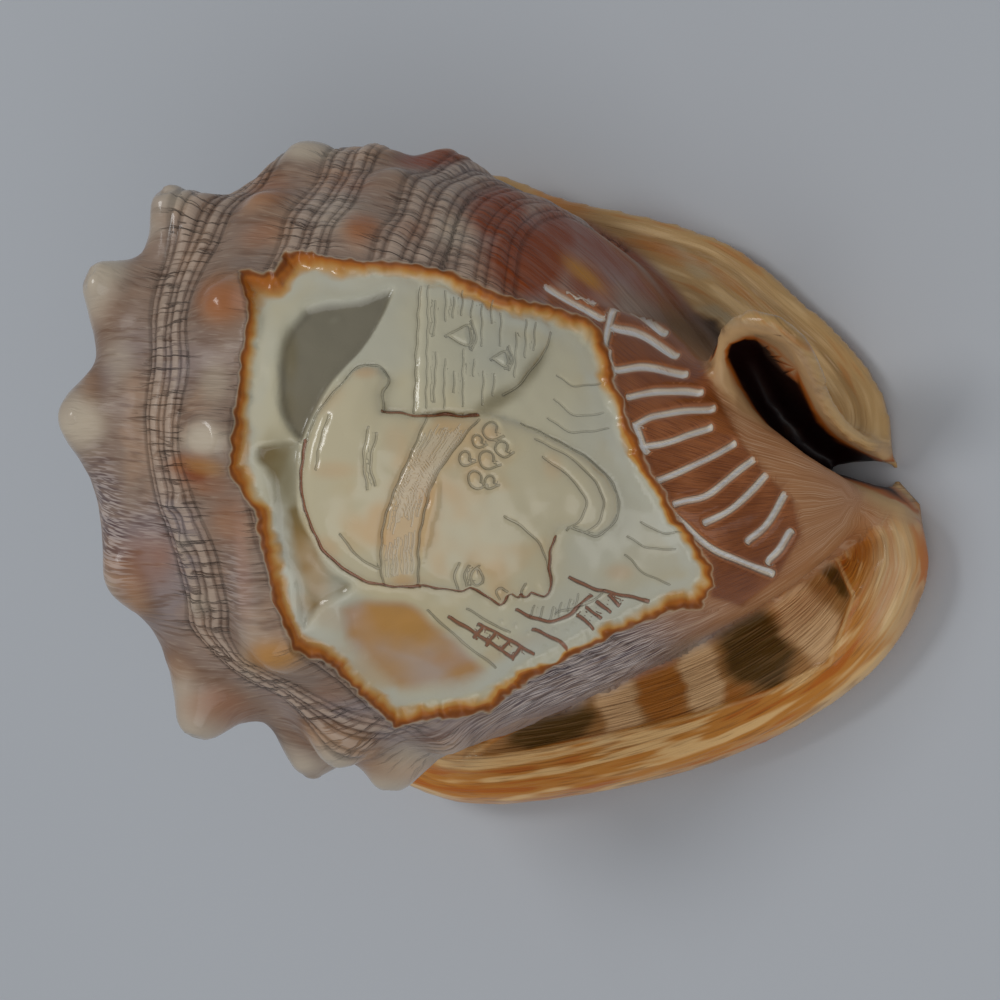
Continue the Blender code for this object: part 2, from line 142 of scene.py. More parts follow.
# Inner shield by the same stations
SHIELD = [
    (-54, 28, 20.0, 3.2, 6, 14, 26),
    (-45, 43, 15.0, 3.0, 6, 14, 24),
    (-30, 54.5, 12.5, 2.8, 6, 15, 24),
    (-12, 56.6, 11.0, 2.6, 6, 15, 22),
    (3, 51.2, 8.6, 2.5, 6, 15, 19),
    (19, 47.4, 6.2, 2.4, 6, 17, 18),
    (36.3, 41.3, 4.4, 2.3, 6, 19, 16),
    (51.6, 29.6, 3.6, 2.2, 5, 18, 15),
    (59.6, 22.4, 3.4, 2.2, 4, 14, 15),
    (65.3, 14.6, 3.3, 2.2, 3, 10, 12),
    (67.4, 7.6, 3.2, 2.2, 2, 8, 6),
]
SHIELD_FOOT = 10.0
SECTION_ARC = 9
FLANGE_RINGS = 70
EDGE_STEPS = 60

# Underside between the two flanges: along, nearest side, farthest side, top
SOLE = [
    (-46, -30, 30, 20),
    (-20, -46, 42, 14),
    (10, -44, 38, 11),
    (35, -37, 30, 10),
    (50, -30, 20, 9),
    (60, -24, 11, 8),
    (67, -18, 5, 7),
]
SOLE_UNDER = 1.2
SOLE_RINGS = 30

# Canal by stations from its closed end to the ground: left rim, floor, right rim
CANAL = [
    ((48.9, 20.4, 32.0), (47.1, 21.6, 29.0), (50.9, 22.7, 33.5)),
    ((51.0, 19.9, 33.0), (49.6, 20.7, 29.0), (53.2, 21.5, 34.5)),
    ((50.9, 16.9, 31.5), (49.2, 20.3, 22.0), (56.7, 22.9, 36.0)),
    ((51.6, 13.6, 29.5), (48.6, 16.2, 16.0), (60.7, 22.6, 35.5)),
    ((54.0, 9.7, 27.0), (49.5, 10.8, 12.0), (63.1, 20.3, 32.5)),
    ((56.7, 5.1, 22.5), (51.6, 6.1, 8.5), (63.0, 16.1, 27.0)),
    ((59.2, 1.0, 17.0), (54.2, 3.0, 5.5), (61.6, 11.5, 21.0)),
    ((62.9, -1.0, 13.0), (58.5, 1.6, 3.4), (61.9, 6.9, 14.0)),
    ((67.0, -3.2, 10.5), (63.5, 0.4, 1.6), (63.5, 4.6, 8.5)),
    ((71.3, -6.2, 8.0), (68.0, -1.8, -3.0), (65.9, 2.6, 4.0)),
]
CANAL_WALL = (5.5, 2.8)
CANAL_REACH = 24.0
CANAL_ARC = 15
CANAL_RINGS = 32
# Rolled rims of the canal: centre and radius
RIMS = {
    "rim_right": [
        (50.4, 20.3, 32.5, 1.5),
        (52.6, 23.0, 34.7, 1.8),
        (56.3, 24.8, 36.2, 1.9),
        (59.7, 25.0, 36.8, 1.9),
        (63.0, 23.9, 35.8, 1.9),
        (65.2, 21.2, 33.0, 1.8),
        (65.2, 17.2, 28.3, 1.8),
        (63.8, 12.5, 22.3, 1.8),
        (63.7, 8.5, 16.8, 1.8),
        (64.6, 5.7, 11.3, 1.8),
        (65.8, 3.9, 7.0, 1.8),
    ],
    "rim_left": [
        (50.0, 20.1, 32.6, 1.4),
        (49.8, 17.2, 31.1, 1.3),
        (50.8, 13.6, 29.1, 1.3),
        (53.2, 9.3, 26.6, 1.3),
        (56.2, 4.6, 22.1, 1.3),
        (58.7, 0.5, 16.6, 1.3),
        (62.5, -1.5, 12.6, 1.4),
        (66.7, -3.7, 10.1, 1.5),
        (71.0, -6.2, 8.1, 1.6),
    ],
}

# Aperture by stations: along, across, half width, roof
APERTURE = [
    (-43, -13, 2.5, 14),
    (-36, -15, 4.4, 20),
    (-20, -18.5, 4.8, 22),
    (0, -20, 4.8, 22),
    (20, -17, 4.7, 18),
    (40, -9, 4.6, 12),
    (52, -3.5, 4.2, 8),
    (59, -1.0, 3.2, 5),
    (65, 0.2, 2.2, 4),
]
HOLLOW_WALL = 6.5
HOLLOW_ENDS = (-38.0, 42.0)
HOLLOW_FLOOR = 8.5
HOLLOW_RINGS = 36
HOLLOW_SIDES = 48
SLIT_RINGS = 40
TEETH = 19
TOOTH_LONG = 7.5
TOOTH_RADIUS = 1.25

VOXEL = 1.5
FINE_VOXEL = 1.15
CUTTER_VOXEL = 0.9
SKIN_VOXEL = 1.4
SMOOTH_STEPS = 12
REST_REACH = 90.0
MOST_FACES = 196000
PANEL_SUNK = 1.5
STUDIO_LIGHT = 0.56
STUDIO_SHEEN = 0.008
# Height in mm from which the back is carved, and how deep the skin reaches into the wall
CARVED_FROM = 22
SKIN_DEEP = 4.0
# What stands for far outside an outline, and for far from every line, in the picture
OUTSIDE = -60.0
FAR = 60.0
# Turn round the whorl in radians to mm
ROUND = 45.0
FLOOR_COLOUR = (0.60, 0.63, 0.67, 1.0)
SKY_STRENGTH = 0.275
# Soft lights: place, size and power
LAMPS = [
    ("window", (-0.42, 0.3, 0.95), (0.34, 0.34), 2.2),
    ("fill", (0.75, -0.55, 0.95), (1.2, 1.2), 3.8),
]

# The picture is 1000 by 1000 and its places are counted from its upper left corner
VIEW_RISE = math.radians(55.0)
VIEW_FAR = 500.0
VIEW_ZOOM = 5.73
VIEW_TARGET = np.array([4.0, -4.2, 30.0])
SENSOR = 36.0

# Edge of the carved panel, where the outer layers are broken away
PANEL = [
    (244, 275), (276, 276), (288, 257), (313, 254), (342, 262), (392, 264), (421, 268), (452, 275),
    (487, 292), (515, 302), (550, 308), (579, 319), (601, 338), (610, 366), (616, 395), (629, 429),
    (642, 461), (661, 493), (676, 518), (692, 540), (708, 565), (711, 584), (698, 603), (667, 609),
    (632, 625), (601, 638), (566, 657), (531, 676), (509, 691), (487, 707), (465, 713), (427, 717),
    (395, 723), (380, 710), (361, 691), (339, 669), (320, 657), (294, 647), (279, 612), (272, 581),
    (263, 543), (257, 511), (241, 486), (231, 467), (234, 436), (239, 398), (244, 366), (250, 328),
    (247, 303),
]
# Brown layer left between the panel and the canal, with its scratched rays
RAYS_FIELD = [
    (545, 285), (603, 306), (665, 326), (700, 362), (722, 408), (742, 445), (766, 475), (792, 500),
    (800, 535), (775, 578), (742, 605), (712, 596), (705, 560), (661, 493), (642, 461), (629, 429),
    (616, 395), (610, 366), (601, 338), (579, 319), (550, 308),
]
# Bust in profile: the back of the cap, then the breast and the back of the neck, closed by the face
CAP_BACK = [
    (414, 412), (384, 409), (382, 393), (389, 376), (380, 364), (364, 362), (351, 368), (332, 390),
    (315, 413), (306, 439), (302, 461), (299, 480), (301, 502), (308, 524), (321, 551), (341, 570),
    (365, 585), (394, 591), (420, 589),
]
BREAST = [
    (560, 530), (575, 528), (588, 534), (599, 537), (612, 528), (621, 513), (620, 494), (609, 474),
    (588, 455), (566, 442), (541, 429), (526, 423), (509, 417), (493, 412), (478, 414), (446, 413),
]
# Own face in thirds of its height, from the hair line to the chin, and out from its plane
FACE_START = (424.0, 588.0)
FACE_THIRD = 42.0
FACE_TURN = math.radians(2.0)
FACE_PROFILE = [
    (0.0, 0.02), (0.35, 0.08), (0.7, 0.12), (0.95, 0.13), (1.12, 0.05), (1.3, 0.1), (1.55, 0.26),
    (1.8, 0.43), (1.9, 0.43), (1.97, 0.34), (2.02, 0.2), (2.12, 0.17), (2.22, 0.24), (2.3, 0.25),
    (2.34, 0.17), (2.4, 0.23), (2.5, 0.21), (2.6, 0.11), (2.75, 0.16), (2.9, 0.19), (3.02, 0.1),
    (3.08, -0.08), (3.02, -0.5), (3.03, -0.9), (3.12, -1.25),
]
FACE_LINES = [
    [(1.12, -0.14), (1.1, -0.28), (1.16, -0.44), (1.25, -0.54)],
    [(1.38, -0.18), (1.39, -0.32), (1.33, -0.45), (1.25, -0.54)],
    [(1.14, -0.15), (1.25, -0.08), (1.37, -0.18)],
    [(0.99, -0.14), (0.95, -0.32), (1.02, -0.52)],
    [(0.8, -0.02), (0.72, -0.26), (0.8, -0.6)],
    [(1.78, 0.15), (1.74, 0.02), (1.83, -0.07), (1.94, -0.02)],
    [(2.35, 0.15), (2.33, 0.0), (2.38, -0.16)],
    [(2.98, -0.5), (2.8, -1.0), (2.4, -1.45), (1.9, -1.75)],
]
FACE_DOMES = [
    (1.95, -0.62, 0.6, 0.5, 0.34),
    (0.9, -0.2, 0.28, 0.45, 0.2),
    (1.25, -0.28, 0.13, 0.2, 0.34),
    (1.22, -0.26, 0.36, 0.46, -0.3),
    (1.6, 0.12, 0.4, 0.18, 0.3),
    (1.9, 0.08, 0.16, 0.14, 0.22),
    (2.26, 0.06, 0.09, 0.16, 0.2),
    (2.44, 0.05, 0.09, 0.16, 0.2),
    (2.35, -0.16, 0.12, 0.1, -0.14),
    (2.62, -0.05, 0.1, 0.25, -0.14),
    (2.85, 0.02, 0.2, 0.22, 0.26),
    (0.4, -0.3, 0.4, 0.6, 0.16),
]

# Deep places left round the bust: outline in the picture, depth in mm and how gently they begin
HOLLOWS = [
    (
        [
            (301, 302), (330, 294), (361, 291), (393, 283), (381, 316), (361, 346), (344, 364),
            (327, 386), (311, 417), (299, 443), (287, 434), (277, 408), (271, 380), (272, 350),
            (283, 323),
        ],
        1.5, 7.0,
    ),
    (
        [
            (299, 440), (296, 480), (299, 518), (310, 545), (329, 570), (350, 588), (345, 600),
            (320, 612), (303, 633), (293, 606), (285, 581), (272, 556), (269, 524), (263, 480),
            (253, 461), (255, 445), (272, 440),
        ],
        1.0, 7.0,
    ),
    (
        [
            (335, 612), (365, 600), (412, 606), (446, 632), (492, 676), (474, 698), (430, 704),
            (396, 700), (362, 676), (342, 648),
        ],
        0.7, 16.0,
    ),
]
# Valley of the lip, between the whorl and the rolled edge
VALLEY = [
    (470, 758), (500, 738), (560, 708), (640, 668), (700, 632), (745, 612), (790, 590), (818, 565),
    (836, 560), (852, 596), (828, 662), (770, 690), (690, 715), (600, 735), (520, 752),
]

# Lines cut in the panel, by how dark they stand
RED_LINES = [
    [
        (303, 442), (299, 474), (301, 502), (308, 524), (321, 551), (341, 570), (365, 585), (394, 591),
        (420, 590),
    ],
    [(452, 624), (478, 641), (513, 665)], [(482, 631), (509, 646), (533, 660)], [(484, 635), (477, 642)],
    [(497, 641), (490, 650)], [(511, 648), (503, 657)], [(523, 655), (516, 664)],
    [(521, 617), (536, 625), (556, 627), (575, 619), (592, 602)], [(537, 637), (552, 644), (565, 650)],
    [(582, 623), (593, 632)], [(592, 615), (601, 622)], [(602, 608), (611, 616)],
    [(613, 602), (620, 609)], [(574, 582), (594, 592), (620, 600), (648, 606)],
    [(385, 411), (402, 412), (422, 415), (446, 413), (465, 415), (478, 413)],
]
GREY_LINES = [
    CAP_BACK[1:10],
    [(427, 417), (411, 455), (395, 489), (384, 524), (381, 556), (383, 587)],
    [(478, 420), (457, 445), (436, 476), (425, 508), (419, 540), (418, 586)],
    [
        (575, 529), (588, 535), (599, 538), (612, 529), (621, 513), (620, 494), (609, 474), (588, 455),
        (566, 442), (541, 429), (526, 423),
    ],
    [(590, 533), (600, 520), (604, 503), (597, 484), (580, 465), (560, 450), (537, 440)],
    [(572, 530), (582, 518), (586, 503), (579, 487), (563, 471), (545, 459)],
    [(369, 429), (364, 458), (368, 486)], [(377, 436), (371, 461), (375, 483)],
    [(342, 535), (358, 556), (377, 568)], [(329, 417), (320, 442), (317, 467)],
    [(421, 285), (418, 330), (416, 382), (415, 408)],
    [(508, 391), (520, 384), (536, 365), (547, 350), (554, 330)], [(471, 616), (490, 628), (509, 637)],
    [(430, 617), (462, 647), (496, 674)], [(560, 618), (585, 612), (606, 598)],
]
SEA = [
    (421, 268), (452, 275), (487, 292), (515, 302), (550, 310), (556, 330), (548, 350), (536, 365),
    (520, 384), (509, 391), (499, 400), (477, 413), (465, 414), (446, 412), (422, 413), (416, 409),
    (416, 382), (418, 335),
]
FINE_LINES = [
    [(429, 284), (428, 352), (427, 404)], [(436, 300), (435, 330)], [(437, 352), (435, 398)],
    [(447, 290), (446, 316)], [(446, 360), (445, 405)], [(455, 296), (454, 312)],
    [(456, 372), (455, 388)], [(464, 290), (463, 309)], [(465, 350), (464, 402)],
    [(474, 300), (473, 312)], [(476, 360), (475, 372)], [(484, 303), (483, 340)],
    [(485, 372), (484, 400)], [(494, 302), (493, 318)], [(496, 375), (495, 392)],
    [(503, 312), (502, 340)], [(519, 333), (517, 372)], [(529, 318), (527, 352)],
    [(538, 322), (536, 345)], [(563, 373), (579, 382), (601, 380)], [(560, 398), (579, 412), (605, 410)],
    [(553, 417), (575, 430), (609, 426)], [(632, 540), (651, 551), (676, 552)],
    [(629, 559), (648, 578), (670, 589)], [(645, 524), (664, 534), (680, 534)], [(533, 621), (536, 613)],
    [(542, 623), (545, 614)], [(552, 623), (555, 614)], [(561, 620), (563, 611)],
    [(571, 615), (572, 607)], [(579, 609), (580, 601)],
]
BOATS = [
    [(449, 333), (470, 322), (470, 343), (449, 333)], [(474, 320), (478, 332), (474, 346)],
    [(494, 356), (508, 348), (508, 363), (494, 356)], [(512, 346), (515, 355), (512, 365)],
]
DOTS = [
    (503, 627), (517, 631), (529, 639), (544, 635), (557, 636), (569, 638), (547, 654), (560, 657),
    (503, 662), (576, 630), (533, 666),
]
CURLS = [
    (492, 429, 13), (503, 447, 11), (488, 458, 13), (476, 478, 12), (466, 457, 10), (490, 481, 9),
    (478, 440, 9),
]
HAIR_BAND = GREY_LINES[1] + GREY_LINES[2][::-1]
# How wide each kind of line is in the finish, and how soft
CUTS = {"red": (0.9, 1.5), "cut": (0.4, 1.2), "fine": (0.35, 1.0), "hatch": (0.25, 0.9)}
# Pale grooves scratched through the brown layer
RAYS = [
    [(548, 287), (574, 301), (600, 317)], [(562, 281), (578, 290), (593, 300)],
    [(620, 292), (611, 318), (606, 342)], [(609, 355), (611, 372)], [(620, 305), (641, 315), (663, 331)],
    [(616, 327), (645, 336), (675, 354)], [(616, 369), (652, 367), (683, 374)],
    [(631, 396), (663, 390), (698, 392)], [(638, 424), (661, 413), (711, 408)],
    [(643, 447), (672, 440), (708, 427)], [(637, 426), (645, 450)], [(661, 479), (686, 469), (731, 445)],
    [(677, 503), (708, 494), (751, 461)], [(708, 521), (734, 508), (764, 477)],
    [(750, 540), (768, 524), (783, 497)], [(770, 560), (780, 550), (790, 534)],
    [(677, 517), (708, 545), (736, 561), (770, 573)],
]
# Loose beads between the cords: across, down, half width, half height in the picture, and height in mm
BEADS = [
    (177, 504, 9, 8, 1.3), (187, 541, 6, 14, 1.3), (201, 602, 9, 9, 1.1), (246, 585, 14, 66, 1.0),
    (255, 655, 26, 15, 0.8),
]
# Where the broken border of the panel is wide and where it is thin
BORDER_WIDE = [
    (258, 278, 30, 26, 0, 1.6), (330, 262, 50, 16, 0, 0.6), (242, 450, 22, 34, 0, 0.8),
    (290, 650, 34, 20, 30, 0.8), (235, 330, 20, 26, 0, 0.3), (640, 600, 40, 16, -30, 0.5),
]
BORDER_THIN = [
    (560, 665, 130, 22, -28, 0.75), (650, 480, 26, 90, -28, 0.5), (430, 700, 60, 30, 0, 0.4),
    (500, 290, 60, 14, 20, 0.3),
]
# Bars that cross the valley of the lip, as patches; the dark one at 690, 336 is painted shadow on the shield
# beside the canal
BARS = {
    "dark": [
        (552, 727, 48, 22, -22, 1.0), (756, 650, 36, 46, -28, 1.0), (690, 336, 50, 27, 34, 1.0),
        (836, 582, 9, 20, -30, 0.9),
    ],
    "rust": [(660, 690, 26, 46, -18, 1.0), (728, 694, 22, 14, -20, 0.7), (780, 604, 10, 34, -20, 0.6)],
    "pale": [
        (617, 704, 20, 48, -16, 1.0), (701, 678, 19, 54, -16, 1.0), (808, 622, 27, 44, -35, 1.0),
        (725, 318, 34, 7, 28, 0.7), (690, 262, 50, 10, 30, 0.5),
    ],
}
# Patches in the picture: across, down, half width, half height, turn in degrees, strength
PATCHES = {
    "orange": [
        (222, 300, 24, 22, 0, 0.85), (190, 463, 22, 11, -10, 0.8), (362, 228, 18, 16, 0, 0.75),
        (270, 192, 24, 15, -20, 0.5), (410, 232, 16, 12, 0, 0.35), (228, 182, 22, 11, -20, 0.35),
        (146, 562, 26, 30, 20, 0.6), (222, 705, 34, 18, 10, 0.6), (345, 182, 26, 12, 0, 0.3),
        (205, 482, 26, 13, 15, 0.55), (230, 520, 20, 34, -15, 0.35), (262, 235, 22, 12, -20, 0.4),
        (330, 690, 16, 14, 0, 0.3), (575, 262, 34, 14, 35, 0.5), (800, 560, 18, 16, 0, 0.5),
        (866, 530, 14, 44, 0, 0.75), (740, 610, 40, 14, -25, 0.35), (560, 205, 34, 12, 12, 0.7),
        (660, 250, 30, 9, 25, 0.55), (365, 372, 12, 7, 0, 0.5), (335, 470, 24, 9, 0, 0.35),
        (395, 440, 12, 16, 0, 0.25), (490, 434, 9, 9, 0, 0.45), (425, 495, 10, 12, 0, 0.35),
        (405, 580, 12, 8, 0, 0.35), (552, 466, 10, 14, 0, 0.3), (622, 576, 14, 9, 0, 0.4),
        (329, 547, 14, 9, 45, 0.4), (330, 400, 18, 10, -40, 0.2), (388, 545, 8, 18, 0, 0.3),
    ],
    "brown": [
        (432, 160, 34, 9, -4, 0.75), (498, 214, 30, 28, 0, 0.95), (528, 258, 44, 40, -20, 0.95),
        (590, 285, 30, 20, 30, 0.6), (608, 246, 62, 26, 36, 0.6), (655, 290, 50, 16, 36, 0.55),
        (196, 474, 14, 8, 0, 0.6), (650, 700, 22, 26, -20, 0.85), (825, 592, 15, 32, -40, 0.5),
        (770, 590, 40, 14, -30, 0.7), (715, 590, 30, 12, -10, 0.6), (560, 230, 30, 16, 40, 0.7),
        (640, 270, 24, 7, 25, 0.5), (700, 300, 40, 8, 28, 0.35),
    ],
    "cream": [
        (88, 425, 18, 24, 0, 0.75), (312, 155, 24, 9, 0, 0.6), (104, 272, 18, 16, 0, 0.5),
        (410, 757, 30, 15, 0, 0.6), (458, 757, 34, 15, 0, 0.6), (205, 440, 24, 14, 0, 0.7),
        (120, 360, 14, 20, 0, 0.3), (600, 718, 18, 28, -20, 0.65), (703, 672, 26, 28, -25, 0.75),
        (810, 612, 24, 26, -35, 0.8), (178, 200, 16, 12, 0, 0.4), (200, 603, 12, 12, 0, 0.35),
        (187, 542, 10, 10, 0, 0.3), (252, 640, 10, 40, 0, 0.3), (215, 385, 14, 22, 0, 0.4),
        (892, 570, 26, 80, 4, 0.75), (455, 232, 22, 16, 0, 0.4), (340, 215, 30, 18, 0, 0.35),
    ],
    # Olive: partly the shell's own olive patches; the one at 690, 335 is painted shadow in the hollow beside
    # the canal, and those at 500, 398, 534, 368 and 448, 414 are painted shadow under the raised edge of the
    # sea
    "olive": [
        (548, 733, 38, 18, -15, 0.95), (757, 652, 36, 38, -30, 0.95), (682, 645, 18, 12, -30, 0.55),
        (690, 335, 46, 28, 30, 0.85), (277, 478, 17, 44, 0, 0.8), (270, 446, 12, 20, 0, 0.4),
        (500, 398, 30, 9, -28, 0.8), (534, 368, 8, 26, 35, 0.7), (448, 414, 34, 5, 0, 0.8),
        (291, 532, 12, 26, -15, 0.7), (284, 350, 9, 28, 0, 0.55), (505, 742, 26, 8, -10, 0.7),
        (282, 400, 9, 18, 0, 0.3),
    ],
    # Violet: the lip's own violet ridge, and at 110, 520 painted shade on the spire
    "violet": [
        (600, 665, 122, 25, -26, 1.0), (700, 622, 60, 13, -24, 0.65), (455, 737, 44, 10, -8, 0.35),
        (240, 585, 16, 44, -12, 0.3), (150, 520, 30, 22, 0, 0.3), (330, 205, 40, 20, -20, 0.15),
        (110, 520, 18, 70, -10, 0.55),
    ],
    "amber": [
        (276, 653, 26, 15, 0, 0.85), (585, 275, 26, 7, 38, 0.85), (396, 640, 44, 20, 14, 0.9),
        (382, 677, 34, 19, 24, 0.9), (306, 570, 17, 44, -22, 0.6), (300, 610, 12, 16, 0, 0.5),
        (440, 655, 20, 12, 20, 0.5), (345, 655, 16, 12, 0, 0.4), (205, 466, 20, 9, 10, 0.5),
    ],
    "pink": [
        (452, 671, 28, 10, 8, 0.6), (345, 625, 30, 14, 10, 0.35), (690, 500, 8, 60, -30, 0.35),
        (246, 570, 8, 60, -6, 0.4), (740, 432, 26, 20, 30, 0.4), (240, 300, 9, 12, 0, 0.4),
        (600, 300, 12, 14, 0, 0.3), (515, 655, 40, 10, -20, 0.2),
    ],
    "grey": [
        (320, 335, 44, 40, -36, 0.9), (345, 305, 48, 15, -8, 0.9), (300, 395, 24, 42, 12, 0.9),
        (277, 560, 10, 50, -12, 0.5), (470, 340, 55, 60, 0, 0.45), (590, 345, 14, 20, 0, 0.15),
        (330, 600, 50, 14, 20, 0.5),
    ],
}
# Cords side by side in one band: from, to and height
BAND_CORDS = [(-4.5, -3.2, 0.6), (-3.2, -0.5, 1.0), (-0.5, 0.8, 0.65), (0.8, 3.2, 0.95), (3.2, 4.5, 0.55)]
# Bands of spiral cords: place along by angle in degrees, and strength
BANDS = [
    (
        [
            (-60, -34), (-10, -30), (20, -27), (34, -26.5), (46, -25.5), (54, -26), (63, -25), (75, -22),
            (86, -22), (94, -21), (111, -17.5), (120, -18), (128, -20), (134, -15.5), (140, -11),
            (144, -7.5), (150, -2.5), (165, 3), (190, 6), (240, 8),
        ],
        1.0,
    ),
    (
        [
            (-60, -20), (-10, -14), (17, -10.7), (23, -8.6), (34, -5.6), (42, -5), (48, -3.8), (90, -1),
            (130, 4), (160, 13), (167, 20), (240, 22),
        ],
        0.9,
    ),
    (
        [
            (-60, 0), (-10, 3), (11, 5.7), (27, 9.1), (36, 11.2), (44, 12.2), (90, 15), (150, 22),
            (190, 26), (240, 28),
        ],
        0.9,
    ),
    ([(-60, 13), (11, 16), (27, 18.5), (36, 20.5), (44, 22), (90, 26), (150, 32), (240, 36)], 0.75),
]

# What is stored at each point of the shell for its finish
STORED = {
    "whorl": ("place", "turn", "knob"),
    "zones": ("hidden", "flange_part", "is_lip"),
    "lip": ("edge", "edge_place", "shield_edge"),
    "canal": ("canal_deep", "canal_part", "fasciole"),
    "cords": ("band", "band_strength", "plain"),
    "panel": ("ragged", "bust"),
    "warm": ("orange", "brown", "amber"),
    "pale": ("cream", "pink", "grey"),
    "dark": ("olive", "violet", "seen"),
    "rays": ("rays_side", "rays_near", "rays_field"),
    "bars": ("bar_dark", "bar_rust", "bar_pale"),
    "valley": ("valley", "shield_place"),
    "hollows": ("hollow_deep", "hollow_side", "hollow_low"),
    "rim": ("beside_band", "border_width"),
}


def along(rows, place):
    """Smooth values of the rows' later columns at each place in their first column."""
    table = np.array(rows, float)
    knots, values = table[:, 0], table[:, 1:]
    slopes = np.gradient(values, knots, axis=0)
    place = np.asarray(place, float)
    low = np.clip(np.searchsorted(knots, place) - 1, 0, len(knots) - 2)
    step = (knots[low + 1] - knots[low])[..., None]
    part = np.clip((place - knots[low])[..., None] / step, 0.0, 1.0)
    square, cube = part**2, part**3
    before = values[low] * (2 * cube - 3 * square + 1) + slopes[low] * step * (cube - 2 * square + part)
    after = values[low + 1] * (3 * square - 2 * cube) + slopes[low + 1] * step * (cube - square)
    return before + after


def evenly(rows, count):
    """The rows sampled smoothly at an even count of places."""
    table = [(number, *row) for number, row in enumerate(rows)]
    return along(table, np.linspace(0, len(rows) - 1, count))


def bump(distance):
    return np.exp(-np.abs(distance) ** 2)


def whorl_rings(places, angles, lift, floor):
    """Points of the whorl at each place and angle, raised by lift, kept above the floor."""
    middle = along(WHORL, places)
    radius = middle[:, 2:3] + lift
    across = middle[:, 0:1] + radius * np.cos(angles)
    height = middle[:, 1:2] + radius * np.sin(angles)
    soft = 2.0
    height = floor + np.logaddexp(0.0, (height - floor) / soft) * soft
    return np.stack([np.broadcast_to(places[:, None], across.shape), across, height], -1)


def knob_lift(places, angles):
    """How far knobs, cords and seams raise or lower the whorl."""
    radius = np.maximum(along(WHORL, places)[..., 2], 1.0)
    lift = np.zeros(np.broadcast(places, angles).shape)
    for place, turn, height, reach, around in KNOBS:
        away = (angles - math.radians(turn) + math.pi) % (2 * math.pi) - math.pi
        distance = np.hypot((places - place) / reach, away * radius / around)
        lift = np.maximum(lift, height * np.exp(-(distance**KNOB_POINT) * 1.6))
    for cord in CORDS:
        line = cord + 4.0 * np.cos(angles - math.pi)
        lift = lift - CORD_DROP * bump((places - line) / CORD_REACH)
    for seam in SEAMS:
        line = seam + 2.0 * angles / math.pi
        lift = lift - SEAM_DROP * bump((places - line) / SEAM_REACH)
    for place, count, height, reach in SPIRE_KNOBS:
        ring = (0.5 + 0.5 * np.cos(angles * count)) ** 2
        lift = lift + height * ring * bump((places - place) / reach)
    return lift


def solid(name, rings):
    """A closed mesh through rings of points, with flat ends."""
    mesh = bmesh.new()
    rows = [[mesh.verts.new(tuple(point * MM)) for point in ring] for ring in rings]
    count = len(rows[0])
    for near, far in zip(rows, rows[1:]):
        for side in range(count):
            after = (side + 1) % count
            mesh.faces.new((near[side], near[after], far[after], far[side]))
    mesh.faces.new(rows[0][::-1])
    mesh.faces.new(rows[-1])
    bmesh.ops.recalc_face_normals(mesh, faces=mesh.faces)
    data = bpy.data.meshes.new(name)
    mesh.to_mesh(data)
    mesh.free()
    made = bpy.data.objects.new(name, data)
    bpy.context.scene.collection.objects.link(made)
    return made


def whorl(name):
    """The whorl and the spire with their knobs."""
    places = np.linspace(WHORL[0][0], WHORL[-1][0], WHORL_RINGS)
    angles = np.linspace(-math.pi / 2, 1.5 * math.pi, WHORL_SIDES, endpoint=False)
    raised = knob_lift(places[:, None], angles[None, :])
    return solid(name, whorl_rings(places, angles, raised, WHORL_FLOOR))


def hollow(name):
    """The room inside the whorl, rounded at both ends."""
    places = np.linspace(HOLLOW_ENDS[0], HOLLOW_ENDS[1], HOLLOW_RINGS)
    angles = np.linspace(-math.pi / 2, 1.5 * math.pi, HOLLOW_SIDES, endpoint=False)
    middle = (HOLLOW_ENDS[0] + HOLLOW_ENDS[1]) / 2
    half = (HOLLOW_ENDS[1] - HOLLOW_ENDS[0]) / 2
    share = np.sqrt(np.maximum(1.0 - ((places - middle) / half) ** 2, 0.002))
    radius = along(WHORL, places)[:, 2]
    lift = (radius - HOLLOW_WALL) * share - radius
    return solid(name, whorl_rings(places, angles, lift[:, None] * np.ones(HOLLOW_SIDES), HOLLOW_FLOOR))


def flange(name, rows, foot, side):
    """The rolled edge that spreads from the whorl: side is the way in from the edge."""
    table = evenly(rows, FLANGE_RINGS)
    edge = table[:, :2]
    run = np.gradient(edge, axis=0)
    run /= np.linalg.norm(run, axis=1)[:, None]
    inward = np.stack([-run[:, 1], run[:, 0]], 1) * side
    rings = []
    for spot, way, (height, radius, flat, depth, inner) in zip(edge, inward, table[:, 2:]):
        arc = np.linspace(-math.pi / 2, math.pi / 2, SECTION_ARC)
        reach = list(radius - radius * np.cos(arc))
        rise = list(height + radius * np.sin(arc))
        reach += [flat, depth, depth, max(foot, radius)]
        rise += [height + radius, inner, -1.0, -1.0]
        ring = [(*(spot + way * r), z) for r, z in zip(reach, rise)]
        rings.append(np.array(ring))
    return solid(name, rings)


def sole(name):
    rings = []
    for x, low, high, top in evenly(SOLE, SOLE_RINGS):
        corners = [(low, SOLE_UNDER), (high, SOLE_UNDER), (high, top), (low, top)]
        rings.append(np.array([(x, y, z) for y, z in corners]))
    return solid(name, rings)


def canal_sections(first):
    """Along the canal from a station: the inside from rim to rim, the way that it opens and the middle."""
    table = evenly([(*left, *floor, *right) for left, floor, right in CANAL[first:]], CANAL_RINGS)
    part = np.linspace(0, 1, CANAL_ARC)[:, None]
    for row in table:
        left, floor, right = row[:3], row[3:6], row[6:]
        pull = 2 * floor - (left + right) / 2
        inside = left * (1 - part) ** 2 + 2 * pull * part * (1 - part) + right * part**2
        opening = (left + right) / 2 - floor
        yield inside, opening / np.linalg.norm(opening), (left + right) / 2


def canal_wall(name):
    rings = []
    thick = np.linspace(CANAL_WALL[0], CANAL_WALL[1], CANAL_ARC)[:, None]
    for inside, opening, middle in canal_sections(0):
        out = inside - (middle - opening)
        out = inside + out / np.linalg.norm(out, axis=1)[:, None] * thick
        rings.append(np.concatenate([inside, out[::-1]]))
    return solid(name, rings)


